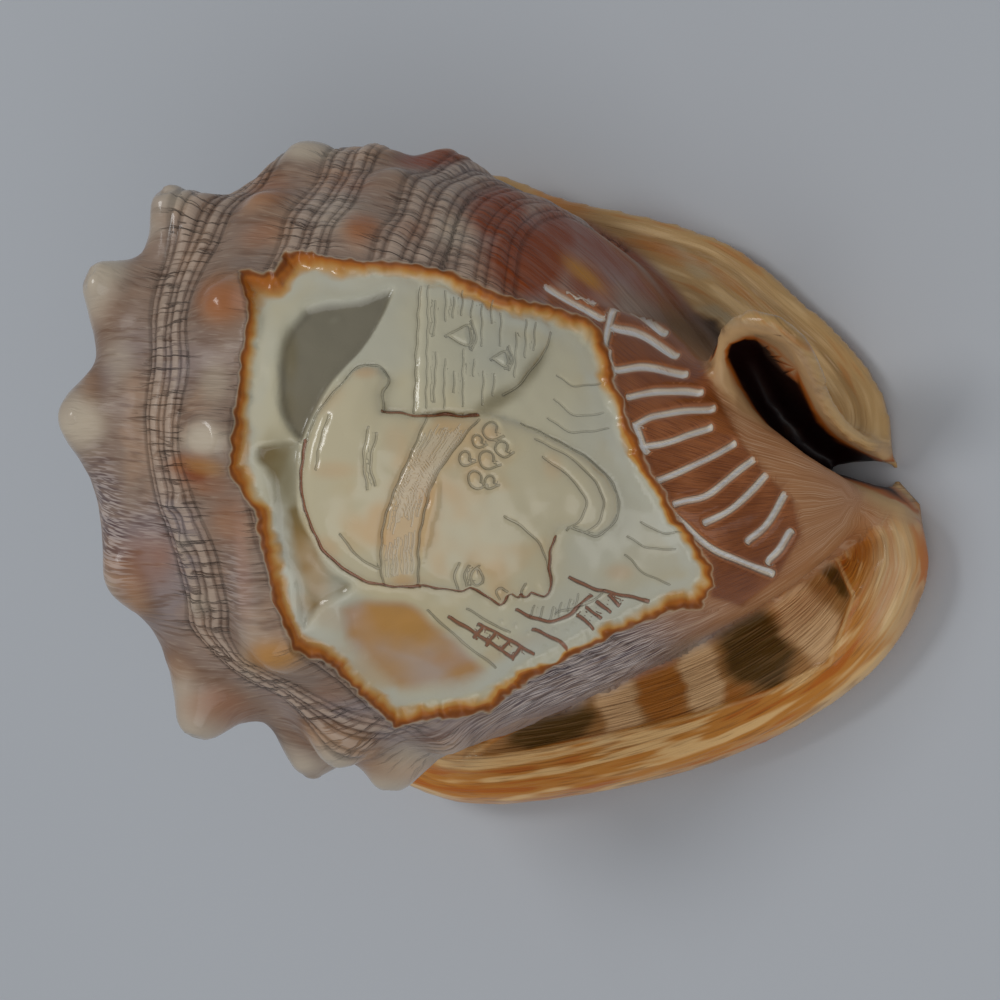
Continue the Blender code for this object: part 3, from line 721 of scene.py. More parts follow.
def canal_bore(name):
    rings = []
    for inside, opening, middle in canal_sections(1):
        beyond = opening * CANAL_REACH
        rings.append(np.concatenate([inside, [inside[-1] + beyond, inside[0] + beyond]]))
    return solid(name, rings)


def tube(name, rows):
    """A round bar through points, each with its own radius."""
    data = bpy.data.curves.new(name, "CURVE")
    data.dimensions = "3D"
    data.bevel_depth = MM
    data.bevel_resolution = 4
    data.use_fill_caps = True
    table = evenly(rows, len(rows) * 4)
    line = data.splines.new("POLY")
    line.points.add(len(table) - 1)
    for point, (x, y, z, radius) in zip(line.points, table):
        point.co = (x * MM, y * MM, z * MM, 1.0)
        point.radius = radius
    bar = bpy.data.objects.new(name, data)
    bpy.context.scene.collection.objects.link(bar)
    bpy.ops.object.select_all(action="DESELECT")
    bar.select_set(True)
    bpy.context.view_layer.objects.active = bar
    bpy.ops.object.convert(target="MESH")
    return bar


def aperture_frames(count):
    table = evenly(APERTURE, count)
    run = np.gradient(table[:, :2], axis=0)
    run /= np.linalg.norm(run, axis=1)[:, None]
    return table, np.stack([-run[:, 1], run[:, 0]], 1)


def slit(name):
    table, across = aperture_frames(SLIT_RINGS)
    rings = []
    for (x, y, half, roof), way in zip(table, across):
        middle = np.array([x, y])
        corners = [(-half * 1.3, -3.0), (half * 1.3, -3.0), (half, 3.0)]
        corners += [(half * 0.8, roof), (-half * 0.8, roof), (-half, 3.0)]
        rings.append(np.array([(*(middle + way * r), z) for r, z in corners]))
    return solid(name, rings)


def teeth():
    """Short ridges on both margins of the aperture."""
    table, across = aperture_frames(TEETH + 4)
    made = []
    for number in range(2, TEETH + 1):
        x, y, half, roof = table[number]
        for sign in (-1, 1):
            near = np.array([x, y]) + across[number] * sign * (half - 0.9)
            far = near + across[number] * sign * TOOTH_LONG
            turn = math.atan2(far[1] - near[1], far[0] - near[0])
            centre = (near + far) / 2
            bpy.ops.mesh.primitive_uv_sphere_add(segments=12, ring_count=8, radius=1.0)
            tooth = bpy.context.object
            tooth.name = f"tooth_{number}_{sign}"
            tooth.location = (centre[0] * MM, centre[1] * MM, 1.5 * MM)
            tooth.scale = (TOOTH_LONG * 0.56 * MM, TOOTH_RADIUS * MM, 1.6 * MM)
            tooth.rotation_euler = (0, 0, turn)
            made.append(tooth)
    return made


def ground_block(name):
    """All that lies below the ground."""
    reach = REST_REACH
    corners = [(-reach, -reach), (reach, -reach), (reach, reach), (-reach, reach)]
    return solid(name, [np.array([(x, y, z) for x, y in corners], float) for z in (-reach, 0.0)])


def pick(*pieces):
    """Selects these pieces and nothing else."""
    if bpy.context.mode != "OBJECT":
        bpy.ops.object.mode_set(mode="OBJECT")
    bpy.ops.object.select_all(action="DESELECT")
    for piece in pieces:
        piece.select_set(True)
    bpy.context.view_layer.objects.active = pieces[0]


def finish_with(made, kind, **settings):
    """Adds a modifier, sets it and applies it."""
    pick(made)
    bpy.ops.object.modifier_add(type=kind)
    step = made.modifiers[-1]
    for name, value in settings.items():
        setattr(step, name, value)
    bpy.ops.object.modifier_apply(modifier=step.name)


def remesh(made, voxel):
    finish_with(made, "REMESH", mode="VOXEL", voxel_size=voxel * MM)


def smooth(made, steps, group=""):
    finish_with(made, "SMOOTH", factor=0.5, iterations=steps, vertex_group=group)


def cut(made, cutter):
    finish_with(made, "BOOLEAN", operation="DIFFERENCE", solver="EXACT", object=cutter)
    bpy.data.objects.remove(cutter)


def join(pieces, name):
    pick(*pieces)
    bpy.ops.object.transform_apply(location=True, rotation=True, scale=True)
    bpy.ops.object.join()
    pieces[0].name = name
    return pieces[0]


def points_of(made):
    places = np.empty(len(made.data.vertices) * 3, np.float32)
    made.data.vertices.foreach_get("co", places)
    return places.reshape(-1, 3).astype(float) / MM


def normals_of(made):
    ways = np.empty(len(made.data.vertices) * 3, np.float32)
    made.data.vertex_normals.foreach_get("vector", ways)
    return ways.reshape(-1, 3).astype(float)


def put_points(made, points):
    made.data.vertices.foreach_set("co", (points * MM).astype(np.float32).reshape(-1))
    made.data.update()


def view_axes():
    back = np.array([math.cos(VIEW_RISE), 0.0, math.sin(VIEW_RISE)])
    right = np.array([math.sin(VIEW_RISE), 0.0, -math.cos(VIEW_RISE)])
    return right, np.array([0.0, 1.0, 0.0]), back


def picture_places(points):
    """Where points stand in the picture, across and down."""
    right, up, back = view_axes()
    away = points - VIEW_TARGET - back * VIEW_FAR
    depth = -(away @ back)
    zoom = VIEW_ZOOM * VIEW_FAR
    return 500 + zoom * (away @ right) / depth, 500 - zoom * (away @ up) / depth


def facing(points, normals):
    """How squarely the camera would see each point."""
    away = VIEW_TARGET + view_axes()[2] * VIEW_FAR - points
    away /= np.linalg.norm(away, axis=1)[:, None]
    return (away * normals).sum(axis=1)


def ease(value, low, high):
    part = np.clip((value - low) / (high - low), 0.0, 1.0)
    return part * part * (3 - 2 * part)


def mottle(points, size, seed):
    """Soft noise from -1 to 1 at each point, with lumps of about this size."""
    shift = Vector((seed * 7.3, seed * 3.1, seed * 5.7))
    return np.array([noise.noise(Vector(point) / size + shift) for point in points])


def inside_depth(across, down, outline):
    """Distance in from a closed outline, below zero outside it."""
    corners = np.array(outline, float)
    nearest = np.full(across.shape, 1e9)
    odd = np.zeros(across.shape, bool)
    for (x0, y0), (x1, y1) in zip(corners, np.roll(corners, -1, axis=0)):
        dx, dy = x1 - x0, y1 - y0
        part = np.clip(((across - x0) * dx + (down - y0) * dy) / max(dx * dx + dy * dy, 1e-9), 0, 1)
        nearest = np.minimum(nearest, np.hypot(across - x0 - dx * part, down - y0 - dy * part))
        crosses = (y0 > down) != (y1 > down)
        where = x0 + (down - y0) * dx / (dy if dy else 1e-9)
        odd ^= crosses & (across < where)
    return np.where(odd, nearest, -nearest)


def flow(line):
    """A drawn line made smooth."""
    return evenly(line, 4 * len(line)) if len(line) > 2 else np.array(line, float)


def line_places(across, down, lines):
    """Offset to the side of the nearest line and plain distance to it."""
    side = np.full(across.shape, FAR)
    near = np.full(across.shape, FAR)
    for line in lines:
        path = flow(line)
        low, high = path.min(axis=0) - 12, path.max(axis=0) + 12
        box = (across > low[0]) & (across < high[0]) & (down > low[1]) & (down < high[1])
        spots = np.nonzero(box)[0]
        x, y = across[spots], down[spots]
        best_side, best = side[spots], near[spots]
        for (x0, y0), (x1, y1) in zip(path, path[1:]):
            dx, dy = x1 - x0, y1 - y0
            long = max(math.hypot(dx, dy), 1e-6)
            part = np.clip(((x - x0) * dx + (y - y0) * dy) / long**2, 0, 1)
            away = np.hypot(x - x0 - dx * part, y - y0 - dy * part)
            aside = ((x - x0) * dy - (y - y0) * dx) / long
            best_side = np.where(away < best, aside, best_side)
            best = np.minimum(away, best)
        side[spots], near[spots] = best_side, best
    return side, near


def face_axes():
    return np.array([[math.cos(FACE_TURN), math.sin(FACE_TURN)], [-math.sin(FACE_TURN), math.cos(FACE_TURN)]])


def face_places(rows):
    """Picture places of points given in thirds of the face."""
    return [tuple(np.array(FACE_START) + np.array(row[:2]) * FACE_THIRD @ face_axes()) for row in rows]


def patch(across, down, rows):
    """Strength of soft patches."""
    total = np.zeros(across.shape)
    for x, y, wide, tall, turn, strength in rows:
        angle = math.radians(turn)
        dx = (across - x) * math.cos(angle) + (down - y) * math.sin(angle)
        dy = (down - y) * math.cos(angle) - (across - x) * math.sin(angle)
        reach = (dx / wide) ** 2 + (dy / tall) ** 2
        total = np.maximum(total, strength * np.exp(-(reach**1.6)))
    return total


def whorl_places(points):
    """Height out from the whorl's knobbed surface, and turn round it."""
    middle = along(WHORL, points[:, 0])
    turn = np.arctan2(points[:, 2] - middle[:, 1], points[:, 1] - middle[:, 0])
    turn = np.where(turn < -math.pi / 2, turn + 2 * math.pi, turn)
    out = np.hypot(points[:, 1] - middle[:, 0], points[:, 2] - middle[:, 1])
    return out - middle[:, 2] - knob_lift(points[:, 0], turn), turn


def drop_crumbs(made):
    """Keeps the one large body and drops what the cutters left loose."""
    mesh = bmesh.new()
    mesh.from_mesh(made.data)
    left = set(mesh.verts)
    bodies = []
    while left:
        found = {left.pop()}
        edge = list(found)
        while edge:
            near = {link.other_vert(vert) for vert in edge for link in vert.link_edges} - found
            found |= near
            edge = list(near)
        left -= found
        bodies.append(found)
    bodies.sort(key=len)
    for crumb in bodies[:-1]:
        bmesh.ops.delete(mesh, geom=list(crumb), context="VERTS")
    mesh.to_mesh(made.data)
    mesh.free()


def base_form():
    """The shell's plain form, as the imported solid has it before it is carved."""
    pieces = [
        whorl("whorl"),
        flange("lip", LIP, 0.0, 1),
        flange("shield", SHIELD, SHIELD_FOOT, -1),
        sole("sole"),
    ]
    shell = join(pieces, "carved_helmet_shell")
    remesh(shell, VOXEL)
    smooth(shell, SMOOTH_STEPS)
    rims = [tube(name, rows) for name, rows in RIMS.items()]
    shell = join([shell, canal_wall("canal"), *rims, *teeth()], "carved_helmet_shell")
    remesh(shell, FINE_VOXEL)
    for cutter in (hollow("hollow"), slit("slit"), canal_bore("bore")):
        remesh(cutter, CUTTER_VOXEL)
        cut(shell, cutter)
    remesh(shell, SKIN_VOXEL)
    smooth(shell, 3)
    cut(shell, ground_block("ground"))
    drop_crumbs(shell)
    return shell


def select_faces(made, chosen):
    """Selects the faces whose corners are all chosen."""
    counts = np.empty(len(made.data.polygons), np.int32)
    made.data.polygons.foreach_get("loop_total", counts)
    corners = np.empty(len(made.data.loops), np.int32)
    made.data.loops.foreach_get("vertex_index", corners)
    starts = np.concatenate([[0], np.cumsum(counts)[:-1]])
    every = np.minimum.reduceat(chosen[corners].astype(np.int8), starts).astype(bool)
    pick(made)
    bpy.ops.object.mode_set(mode="EDIT")
    bpy.ops.mesh.select_mode(type="FACE")
    bpy.ops.mesh.select_all(action="DESELECT")
    bpy.ops.object.mode_set(mode="OBJECT")
    made.data.polygons.foreach_set("select", every)
    bpy.ops.object.mode_set(mode="EDIT")


def refine(made, chosen):
    """Cuts the chosen faces in four."""
    select_faces(made, chosen)
    bpy.ops.mesh.subdivide(number_cuts=1)
    bpy.ops.object.mode_set(mode="OBJECT")


def weigh(made, name, weights):
    """A vertex group with these weights."""
    group = made.vertex_groups.new(name=name)
    levels = np.round(np.clip(weights, 0, 1) * 10).astype(int)
    for level in range(1, 11):
        spots = np.nonzero(levels == level)[0]
        if len(spots):
            group.add(spots.tolist(), level / 10, "REPLACE")
    return name


def faces_of(made):
    counts = np.empty(len(made.data.polygons), np.int32)
    made.data.polygons.foreach_get("loop_total", counts)
    return int((counts - 2).sum())


def panel_skin(points, normals):
    """Depth inside the panel, in the picture, of points on the side that is carved."""
    across, down = picture_places(points)
    out = whorl_places(points)[0]
    depth = inside_depth(across, down, PANEL)
    carved = (out > -SKIN_DEEP) & (facing(points, normals) > 0.1) & (points[:, 2] > CARVED_FROM)
    return across, down, np.where(carved, depth, OUTSIDE)


def fine_skin(shell):
    """Fine faces on the outside, finer in the panel, and coarse ones inside and below."""
    points, normals = points_of(shell), normals_of(shell)
    out = whorl_places(points)[0]
    outer = ((normals[:, 2] > -0.25) | (points[:, 2] > 15)) & (out > -3.5) & (points[:, 2] > 1.0)
    canal = (points[:, 0] > 46) & (points[:, 2] > 4)
    refine(shell, outer | canal)
    points, normals = points_of(shell), normals_of(shell)
    across, down, depth = panel_skin(points, normals)
    rays = inside_depth(across, down, RAYS_FIELD)
    drawn = RED_LINES + GREY_LINES + FINE_LINES + BOATS + hatch_lines() + curl_lines()
    drawn += [face_places(line) for line in [FACE_PROFILE] + FACE_LINES]
    drawn += [[(x - 1, y), (x + 1, y)] for x, y in DOTS]
    near = line_places(across, down, drawn)[1]
    rayed = (rays > 0) & (facing(points, normals) > 0.2) & (points[:, 2] > CARVED_FROM)
    near_ray = line_places(across, down, RAYS)[1]
    refine(shell, (np.abs(depth) < 9) | ((depth > 0) & (near < 5)) | (rayed & (near_ray < 7)))
    points = points_of(shell)
    out = whorl_places(points)[0]
    group = weigh(shell, "outside", ((out > -3) & (points[:, 2] > 3)).astype(float))
    smooth(shell, 5, group)
    finish_with(shell, "TRIANGULATE")
    points, normals = points_of(shell), normals_of(shell)
    out = whorl_places(points)[0]
    inner = ((out < -4.0) & (points[:, 0] < 50)) | ((normals[:, 2] < -0.5) & (points[:, 2] < 14))
    total = faces_of(shell)
    hidden = total * inner.mean()
    group = weigh(shell, "coarse", inner.astype(float))
    finish_with(shell, "DECIMATE", ratio=1 - 0.7 * hidden / total, vertex_group=group)
    shell.vertex_groups.clear()


def thin_out(shell):
    """Leaves fewer faces where the carved shell is smooth, and all of them in the panel."""
    total = faces_of(shell)
    ragged = stored_in(shell, "panel")[:, 0]
    rays = stored_in(shell, "rays")[:, 2]
    cords = stored_in(shell, "cords")[:, 1]
    lines = np.minimum(stored_in(shell, "red")[:, 1], stored_in(shell, "cut")[:, 1])
    flange = stored_in(shell, "zones")[:, 1] * (1 - stored_in(shell, "zones")[:, 0])
    seen = stored_in(shell, "dark")[:, 2]
    weight = np.where((ragged > -9) | (rays > 0.05), 0.35 * (lines > 9) * (ragged > 16), 1.0 - 0.4 * cords)
    weight = np.where(flange > 0.3, 0.8 - 0.55 * seen, weight)
    group = weigh(shell, "thinned", weight)
    finish_with(shell, "DECIMATE", ratio=min(MOST_FACES / total, 1.0), vertex_group=group)
    shell.vertex_groups.clear()


def dome(depth, width):
    """A rounded rise inward from an outline."""
    return 1.0 - np.exp(-np.maximum(depth, 0.0) / width)


def groove(near, width):
    return np.exp(-((near / width) ** 2))


def near_band(points, turn):
    """Place across the nearest cord band, and its strength."""
    degrees = np.degrees(turn)
    across = np.full(len(points), 30.0)
    strength = np.zeros(len(points))
    for rows, weight in BANDS:
        away = points[:, 0] - along(rows, degrees)[:, 0]
        closer = np.abs(away) < np.abs(across)
        across = np.where(closer, away, across)
        strength = np.where(closer, weight, strength)
    return across, strength


def cord_rise(across):
    """Height of the cords that make up one band."""
    rise = np.zeros(across.shape)
    for start, stop, height in BAND_CORDS:
        share = (across - (start + stop) / 2) / ((stop - start) / 2)
        rise += height * np.clip(1 - share**2, 0, 1)
    return 0.5 * rise - 0.25 * groove(np.abs(across) - 4.6, 0.8)


def face_rise(across, down):
    """Relief of the own face, drawn in thirds of its height."""
    places = np.stack([across - FACE_START[0], down - FACE_START[1]], 1) @ face_axes().T / FACE_THIRD
    rise = np.zeros(len(across))
    for along_face, out, long, wide, height in FACE_DOMES:
        reach = ((places[:, 0] - along_face) / long) ** 2 + ((places[:, 1] - out) / wide) ** 2
        rise += height * np.exp(-reach)
    return rise


def panel_rise(across, down, depth, lines):
    """Height above the panel's ground, how far each point is inside the bust, and the hollows round it."""
    bust = inside_depth(across, down, CAP_BACK + face_places(FACE_PROFILE) + BREAST)
    rise = 1.35 * dome(bust, 3.5) + 0.7 * dome(bust, 24.0)
    band = inside_depth(across, down, HAIR_BAND)
    rise += 0.22 * ease(band, -1.0, 2.5) * (bust > 0)
    cap = (across < 440) & (bust > 0) & (band < 0) & (across + (down - 500) * 0.28 < 440)
    rise += 0.35 * dome(bust, 14.0) * cap * ease(-band, 0, 6)
    rise += face_rise(across, down) * ease(bust, -1, 4)
    for x, y, radius in CURLS:
        away = np.hypot(across - x, down - y)
        rise += 0.3 * groove(away, radius * 0.9) - 0.16 * groove(np.abs(away - radius * 0.55), 1.6)
    sea = inside_depth(across, down, SEA)
    rise += 0.55 * dome(sea, 3.0) * (bust < 0)
    for boat in BOATS:
        if len(boat) > 3:
            rise += 0.25 * ease(inside_depth(across, down, boat), 0, 2)
    for x, y in DOTS:
        rise -= 0.3 * groove(np.hypot(across - x, down - y), 2.4)
    hollows = []
    wave = 1.2 * np.sin(across * 0.09 + down * 0.05)
    for outline, deep, gentle in HOLLOWS:
        inner = inside_depth(across + wave, down - wave, flow(outline))
        hollows.append(inner)
        rise -= deep * ease(inner, -1.5, gentle) * (bust < 1)
    red, grey, fine, hatch = lines
    rise -= 0.42 * groove(red[1], 2.4) + 0.26 * groove(grey[1], 2.2)
    rise -= 0.12 * groove(fine[1], 1.8) + 0.08 * groove(hatch[1], 1.3)
    return rise, bust, hollows


def hatch_lines():
    """Fine strokes along the hair band."""
    rows = []
    left = evenly(HAIR_BAND[:6], 40)
    right = evenly(HAIR_BAND[:5:-1], 40)

    def stroke(share, places):
        return [tuple(left[place] * (1 - share) + right[place] * share) for place in places]

    for number in range(1, 15):
        share = (number + 0.35 * math.sin(number * 5.1)) / 15
        start = 2 + int(3 * abs(math.sin(number * 2.3)))
        stop = 20 + int(9 * abs(math.cos(number * 1.7)))
        rows.append(stroke(share, range(start, stop, 4)))
        if number % 2:
            rows.append(stroke(share, (29, 32, 36)))
    return rows


def curl_lines():
    rows = []
    for x, y, radius in CURLS:
        ring = []
        for step in range(9):
            angle = math.radians(40 + step * 42)
            reach = radius * (0.95 - 0.075 * step)
            ring.append((x + reach * math.cos(angle), y + reach * math.sin(angle)))
        rows.append(ring)
    return rows


def keep(made, name, *values):
    """Stores up to three numbers at each point of the piece."""
    values = list(values) + [np.zeros(len(made.data.vertices))] * (3 - len(values))
    table = made.data.attributes.new(name=name, type="FLOAT_VECTOR", domain="POINT")
    table.data.foreach_set("vector", np.stack(values, 1).astype(np.float32).reshape(-1))


def stored_in(made, name):
    values = np.empty(len(made.data.vertices) * 3, np.float32)
    made.data.attributes[name].data.foreach_get("vector", values)
    return values.reshape(-1, 3)


def edge_places(points, rows, side):
    """Distance in from a flange's edge and place along it."""
    path = evenly(rows, EDGE_STEPS)[:, :2]
    near = np.full(len(points), 1e3)
    place = np.zeros(len(points))
    total = 0.0
    for (x0, y0), (x1, y1) in zip(path, path[1:]):
        dx, dy = x1 - x0, y1 - y0
        long = math.hypot(dx, dy)
        part = np.clip(((points[:, 0] - x0) * dx + (points[:, 1] - y0) * dy) / long**2, 0, 1)
        away = np.hypot(points[:, 0] - x0 - dx * part, points[:, 1] - y0 - dy * part)
        place = np.where(away < near, total + long * part, place)
        near = np.minimum(near, away)
        total += long
    return near, place


def canal_places(points):
    """How deep in the canal each point lies, most at its floor and towards its closed end, and how near it is
    to the canal's inside.
    """
    deep = np.zeros(len(points))
    part = np.zeros(len(points))
    x, y, z = points.T
    spots = np.nonzero((x > 44) & (y > -14) & (y < 30) & (z > 1))[0]
    sections = [section[0] for section in canal_sections(0)]
    cells = np.concatenate(sections)
    share = np.tile(np.linspace(0, 1, CANAL_ARC), len(sections))
    run = np.repeat(np.linspace(0, 1, len(sections)), CANAL_ARC)
    for start in range(0, len(spots), 2000):
        some = spots[start:start + 2000]
        away = np.linalg.norm(points[some, None, :] - cells[None], axis=2)
        best = away.argmin(axis=1)
        near = away[np.arange(len(some)), best]
        arch = 1 - (2 * share[best] - 1) ** 2
        deep[some] = ease(-near, -2.6, -0.9) * ease(arch, 0.1, 0.6) * (1 - 0.55 * run[best])
        part[some] = ease(-near, -3.2, -1.2)
    return deep, part


def carve(shell):
    """Cords on the whorl, the sunk panel, the relief in it, and what the finish needs at each point."""
    points, normals = points_of(shell), normals_of(shell)
    across, down, depth = panel_skin(points, normals)
    out, turn = whorl_places(points)
    seen = ease(facing(points, normals), 0.0, 0.18) * (points[:, 2] > 1.5)
    skin = ease(out, -3.5, -2.0) * (1 - ease(out, 2.0, 4.0))
    ragged = depth + 3.4 * mottle(points, 3.4, 1) + 2.4 * mottle(points, 1.3, 2)
    ragged = np.where(depth < OUTSIDE / 2, OUTSIDE, ragged)
    sunk = ease(ragged, -3.0, 9.0)
    rays_depth = inside_depth(across, down, RAYS_FIELD)
    scratched = (facing(points, normals) > 0.1) & (points[:, 2] > 20) & (out > -SKIN_DEEP)
    rays_depth = np.where(scratched, rays_depth, OUTSIDE)
    rays_field = ease(rays_depth, -5, 3) * (1 - ease(depth, -6, 2))

    drawn = [flow(line) for line in RED_LINES] + [face_places(FACE_PROFILE)]
    grey_drawn = GREY_LINES + [face_places(line) for line in FACE_LINES] + curl_lines() + BOATS
    wobble_x = across + 0.5 * np.sin(down * 0.31) + 0.35 * np.sin(down * 0.13 + across * 0.09)
    wobble_y = down + 0.5 * np.sin(across * 0.27) + 0.35 * np.sin(across * 0.11 - down * 0.07)
    lines = [line_places(wobble_x, wobble_y, rows) for rows in (drawn, grey_drawn, FINE_LINES, hatch_lines())]
    inside = (depth > 0).astype(float)
    lines = [(side, np.where(inside > 0, near, FAR)) for side, near in lines]
    rise, bust, hollows = panel_rise(across, down, depth, lines)
    bust = np.where(depth > 0, bust, OUTSIDE)
    scratch = line_places(across + 0.5 * np.sin(down * 0.11), down + 0.5 * np.sin(across * 0.13), RAYS)
    scratch = scratch[0], np.where(rays_field > 0.1, scratch[1], FAR)

    band, strength = near_band(points, turn)
    strength = strength * np.where(points[:, 0] > -4, 1 - ease(turn, 2.6, 2.85), 1.0)
    body = skin * (1 - ease(points[:, 0], 40, 50)) * ease(points[:, 0], -50, -44) * (1 - ease(ragged, -6, 0))
    plain = body * (1 - rays_field)
    height = plain * strength * cord_rise(band)
    height += plain * 0.2 * mottle(points * np.array([0.35, 1.0, 1.0]), 2.4, 3) * (1 - 0.6 * strength)
    height += plain * 0.35 * mottle(points, 7.0, 4) + plain * 0.2 * knob_lift(points[:, 0], turn)
    for x, y, wide, tall, high in BEADS:
        reach = ((across - x) / wide) ** 2 + ((down - y) / tall) ** 2
        height += plain * (facing(points, normals) > 0) * high * np.exp(-reach)
    edge_lumps = ease(ragged, -9, -1) * (1 - ease(ragged, 2, 9))
    height += edge_lumps * (0.35 + 0.45 * mottle(points, 2.2, 8)) * (depth > -30)
    height += ease(depth, 2, 10) * 0.13 * mottle(points, 3.0, 6)
    height += rays_field * (0.15 - 0.95 * groove(scratch[1], 4.2))
    height += -PANEL_SUNK * sunk + rise * ease(ragged, 4, 14)
    lip = (points[:, 1] < along(WHORL, points[:, 0])[:, 0]) & (out > 2.0)
    lip_edge, lip_place = edge_places(points, LIP, 1)
    shield_edge, shield_place = edge_places(points, SHIELD, -1)
    valley = np.where(lip & (seen > 0), inside_depth(across, down, VALLEY), OUTSIDE)
    rough = ease(out, 1.5, 4.0) * ease(points[:, 2], 2.5, 5.0)
    height += rough * (0.55 * groove(valley + 3.0, 3.0) - 0.2 * ease(valley, -1.0, 8.0))
    along_lip = np.stack([lip_edge, lip_place * 0.12, points[:, 2] * 0.6], 1)
    height += rough * 0.16 * mottle(along_lip, 1.0, 5) * lip
    height *= ease(points[:, 2], 0.8, 3.0)
    put_points(shell, points + normals * height[:, None])

    knob = knob_lift(points[:, 0], turn)
    canal_deep, canal_part = canal_places(points)
    in_room = ease(-out, 3.2, 4.6) * (1 - canal_part) * (points[:, 0] < 52)
    under = ease(-normals[:, 2], 0.25, 0.75) * (1 - ease(points[:, 2], 9, 16))
    keep(shell, "whorl", points[:, 0], turn * ROUND, knob)
    flange_part = ease(out, 1.6, 4.2) * (1 - canal_part)
    keep(shell, "zones", np.maximum(in_room, under), flange_part, lip.astype(float))
    keep(shell, "lip", lip_edge, lip_place, shield_edge)
    keep(shell, "canal", canal_deep, canal_part, ease(points[:, 0], 36, 50) * ease(-out, -12, -2))
    keep(shell, "cords", np.clip(band, -9, 9), strength * plain, plain)
    keep(shell, "panel", np.clip(ragged, -40, 80), np.clip(bust, -40, 60))
    for name, line in zip(CUTS, lines):
        keep(shell, name, *line)
    keep(shell, "rays", scratch[0], scratch[1], rays_field)
    tint = {name: seen * patch(across, down, rows) for name, rows in PATCHES.items()}
    keep(shell, "warm", tint["orange"], tint["brown"], tint["amber"])
    keep(shell, "pale", tint["cream"], tint["pink"], tint["grey"])
    keep(shell, "dark", tint["olive"], tint["violet"], seen)
    bent_x = across + 2.5 * np.sin(down * 0.19) + 1.5 * np.sin(down * 0.43 + across * 0.2)
    bent_y = down + 3.0 * np.sin(across * 0.16)
    bars = [ease(seen * patch(bent_x, bent_y, BARS[name]), 0.12, 0.72) for name in ("dark", "rust", "pale")]
    keep(shell, "bars", *bars)
    keep(shell, "valley", np.clip(valley, -40, 60), shield_place)
    keep(shell, "hollows", *hollows)
    border = 1.0 + patch(across, down, BORDER_WIDE) - patch(across, down, BORDER_THIN)
    keep(shell, "rim", np.clip(np.abs(band), 0, 9), border)


def fit_in_box(shell):
    """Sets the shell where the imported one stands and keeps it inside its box."""
    points = points_of(shell) + DRAWN_TO_PACKED
    low, high = np.array(CAD_BOX[0]) / MM, np.array(CAD_BOX[1]) / MM
    put_points(shell, np.clip(points, low, high))


def pigment(red, green, blue):
    """Base colour of a finish from its 0 to 255 shade in the soft light of the studio."""
    shades = [((value / 255 + 0.055) / 1.055) ** 2.4 for value in (red, green, blue)]
    own = [max(shade - STUDIO_SHEEN, 0.2 * shade) / STUDIO_LIGHT for shade in shades]
    return tuple(min(shade, 0.95) for shade in own) + (1.0,)


class Wire:
    """A socket of the finish, on which numbers are worked out as on plain values."""

    def __init__(self, tree, socket=None):
        self.tree = tree
        self.socket = socket

    def node(self, kind, settings=(), inputs=(), output=0):
        made = self.tree.nodes.new(kind)
        for name, value in dict(settings).items():
            setattr(made, name, value)
        for name, value in dict(inputs).items():
            if isinstance(value, Wire):
                self.tree.links.new(value.socket, made.inputs[name])
            else:
                made.inputs[name].default_value = value
        return Wire(self.tree, made.outputs[output])

    def maths(self, operation, *values):
        return self.node("ShaderNodeMath", {"operation": operation}, dict(enumerate(values)))

    def __add__(self, other):
        return self.maths("ADD", self, other)

    def __sub__(self, other):
        return self.maths("SUBTRACT", self, other)

    def __rsub__(self, other):
        return self.maths("SUBTRACT", other, self)

    def __mul__(self, other):
        return self.maths("MULTIPLY", self, other)

    def __truediv__(self, other):
        return self.maths("DIVIDE", self, other)

    def __rtruediv__(self, other):
        return self.maths("DIVIDE", other, self)

    def __abs__(self):
        return self.maths("ABSOLUTE", self)

    __radd__ = __add__
    __rmul__ = __mul__

    def over(self, other):
        return self.maths("MAXIMUM", self, other)

    def under(self, other):
        return self.maths("MINIMUM", self, other)

    def sine(self):
        return self.maths("SINE", self)

    def ramp(self, low, high, start=0.0, stop=1.0):
        settings = {"interpolation_type": "SMOOTHSTEP"}
        inputs = {"Value": self, "From Min": low, "From Max": high, "To Min": start, "To Max": stop}
        return self.node("ShaderNodeMapRange", settings, inputs)

    def stored(self, name):
        """The three numbers stored under a name."""
        vector = self.node("ShaderNodeAttribute", {"attribute_name": name}, output=1)
        parts = self.node("ShaderNodeSeparateXYZ", (), {0: vector}).socket.node
        return [Wire(self.tree, output) for output in parts.outputs]

    def vector(self, x, y, z):
        return self.node("ShaderNodeCombineXYZ", (), {0: x, 1: y, 2: z})

    def grain(self, vector, scale, detail, rough=0.55):
        inputs = {"Vector": vector, "Scale": scale, "Detail": detail, "Roughness": rough}
        return self.node("ShaderNodeTexNoise", (), inputs)

    def blend(self, other, factor):
        """This colour turned towards another."""
        other = pigment(*other) if isinstance(other, tuple) else other
        return self.node("ShaderNodeMix", {"data_type": "RGBA"}, {0: factor, 6: self, 7: other}, 2)

    def coated(self, *coats):
        """This colour under coats, each a colour and how far it covers."""
        made = self
        for colour, share in coats:
            made = made.blend(colour, share)
        return made

    def tone(self, red, green, blue):
        """A plain colour."""
        made = self.node("ShaderNodeRGB")
        made.socket.default_value = pigment(red, green, blue)
        return made

    def shade(self, factor):
        """This colour made darker or lighter."""
        grey = self.vector(factor, factor, factor)
        settings = {"data_type": "RGBA", "blend_type": "MULTIPLY"}
        return self.node("ShaderNodeMix", settings, {0: 1.0, 6: self, 7: grey}, 2)


def line_mask(side, near, half, soft=1.0):
    """A crisp line where the side offset is small and the point is truly near."""
    return abs(side).ramp(half, half + soft, 1.0, 0.0) * near.ramp(half + 2.5, half + 3.5, 1.0, 0.0)


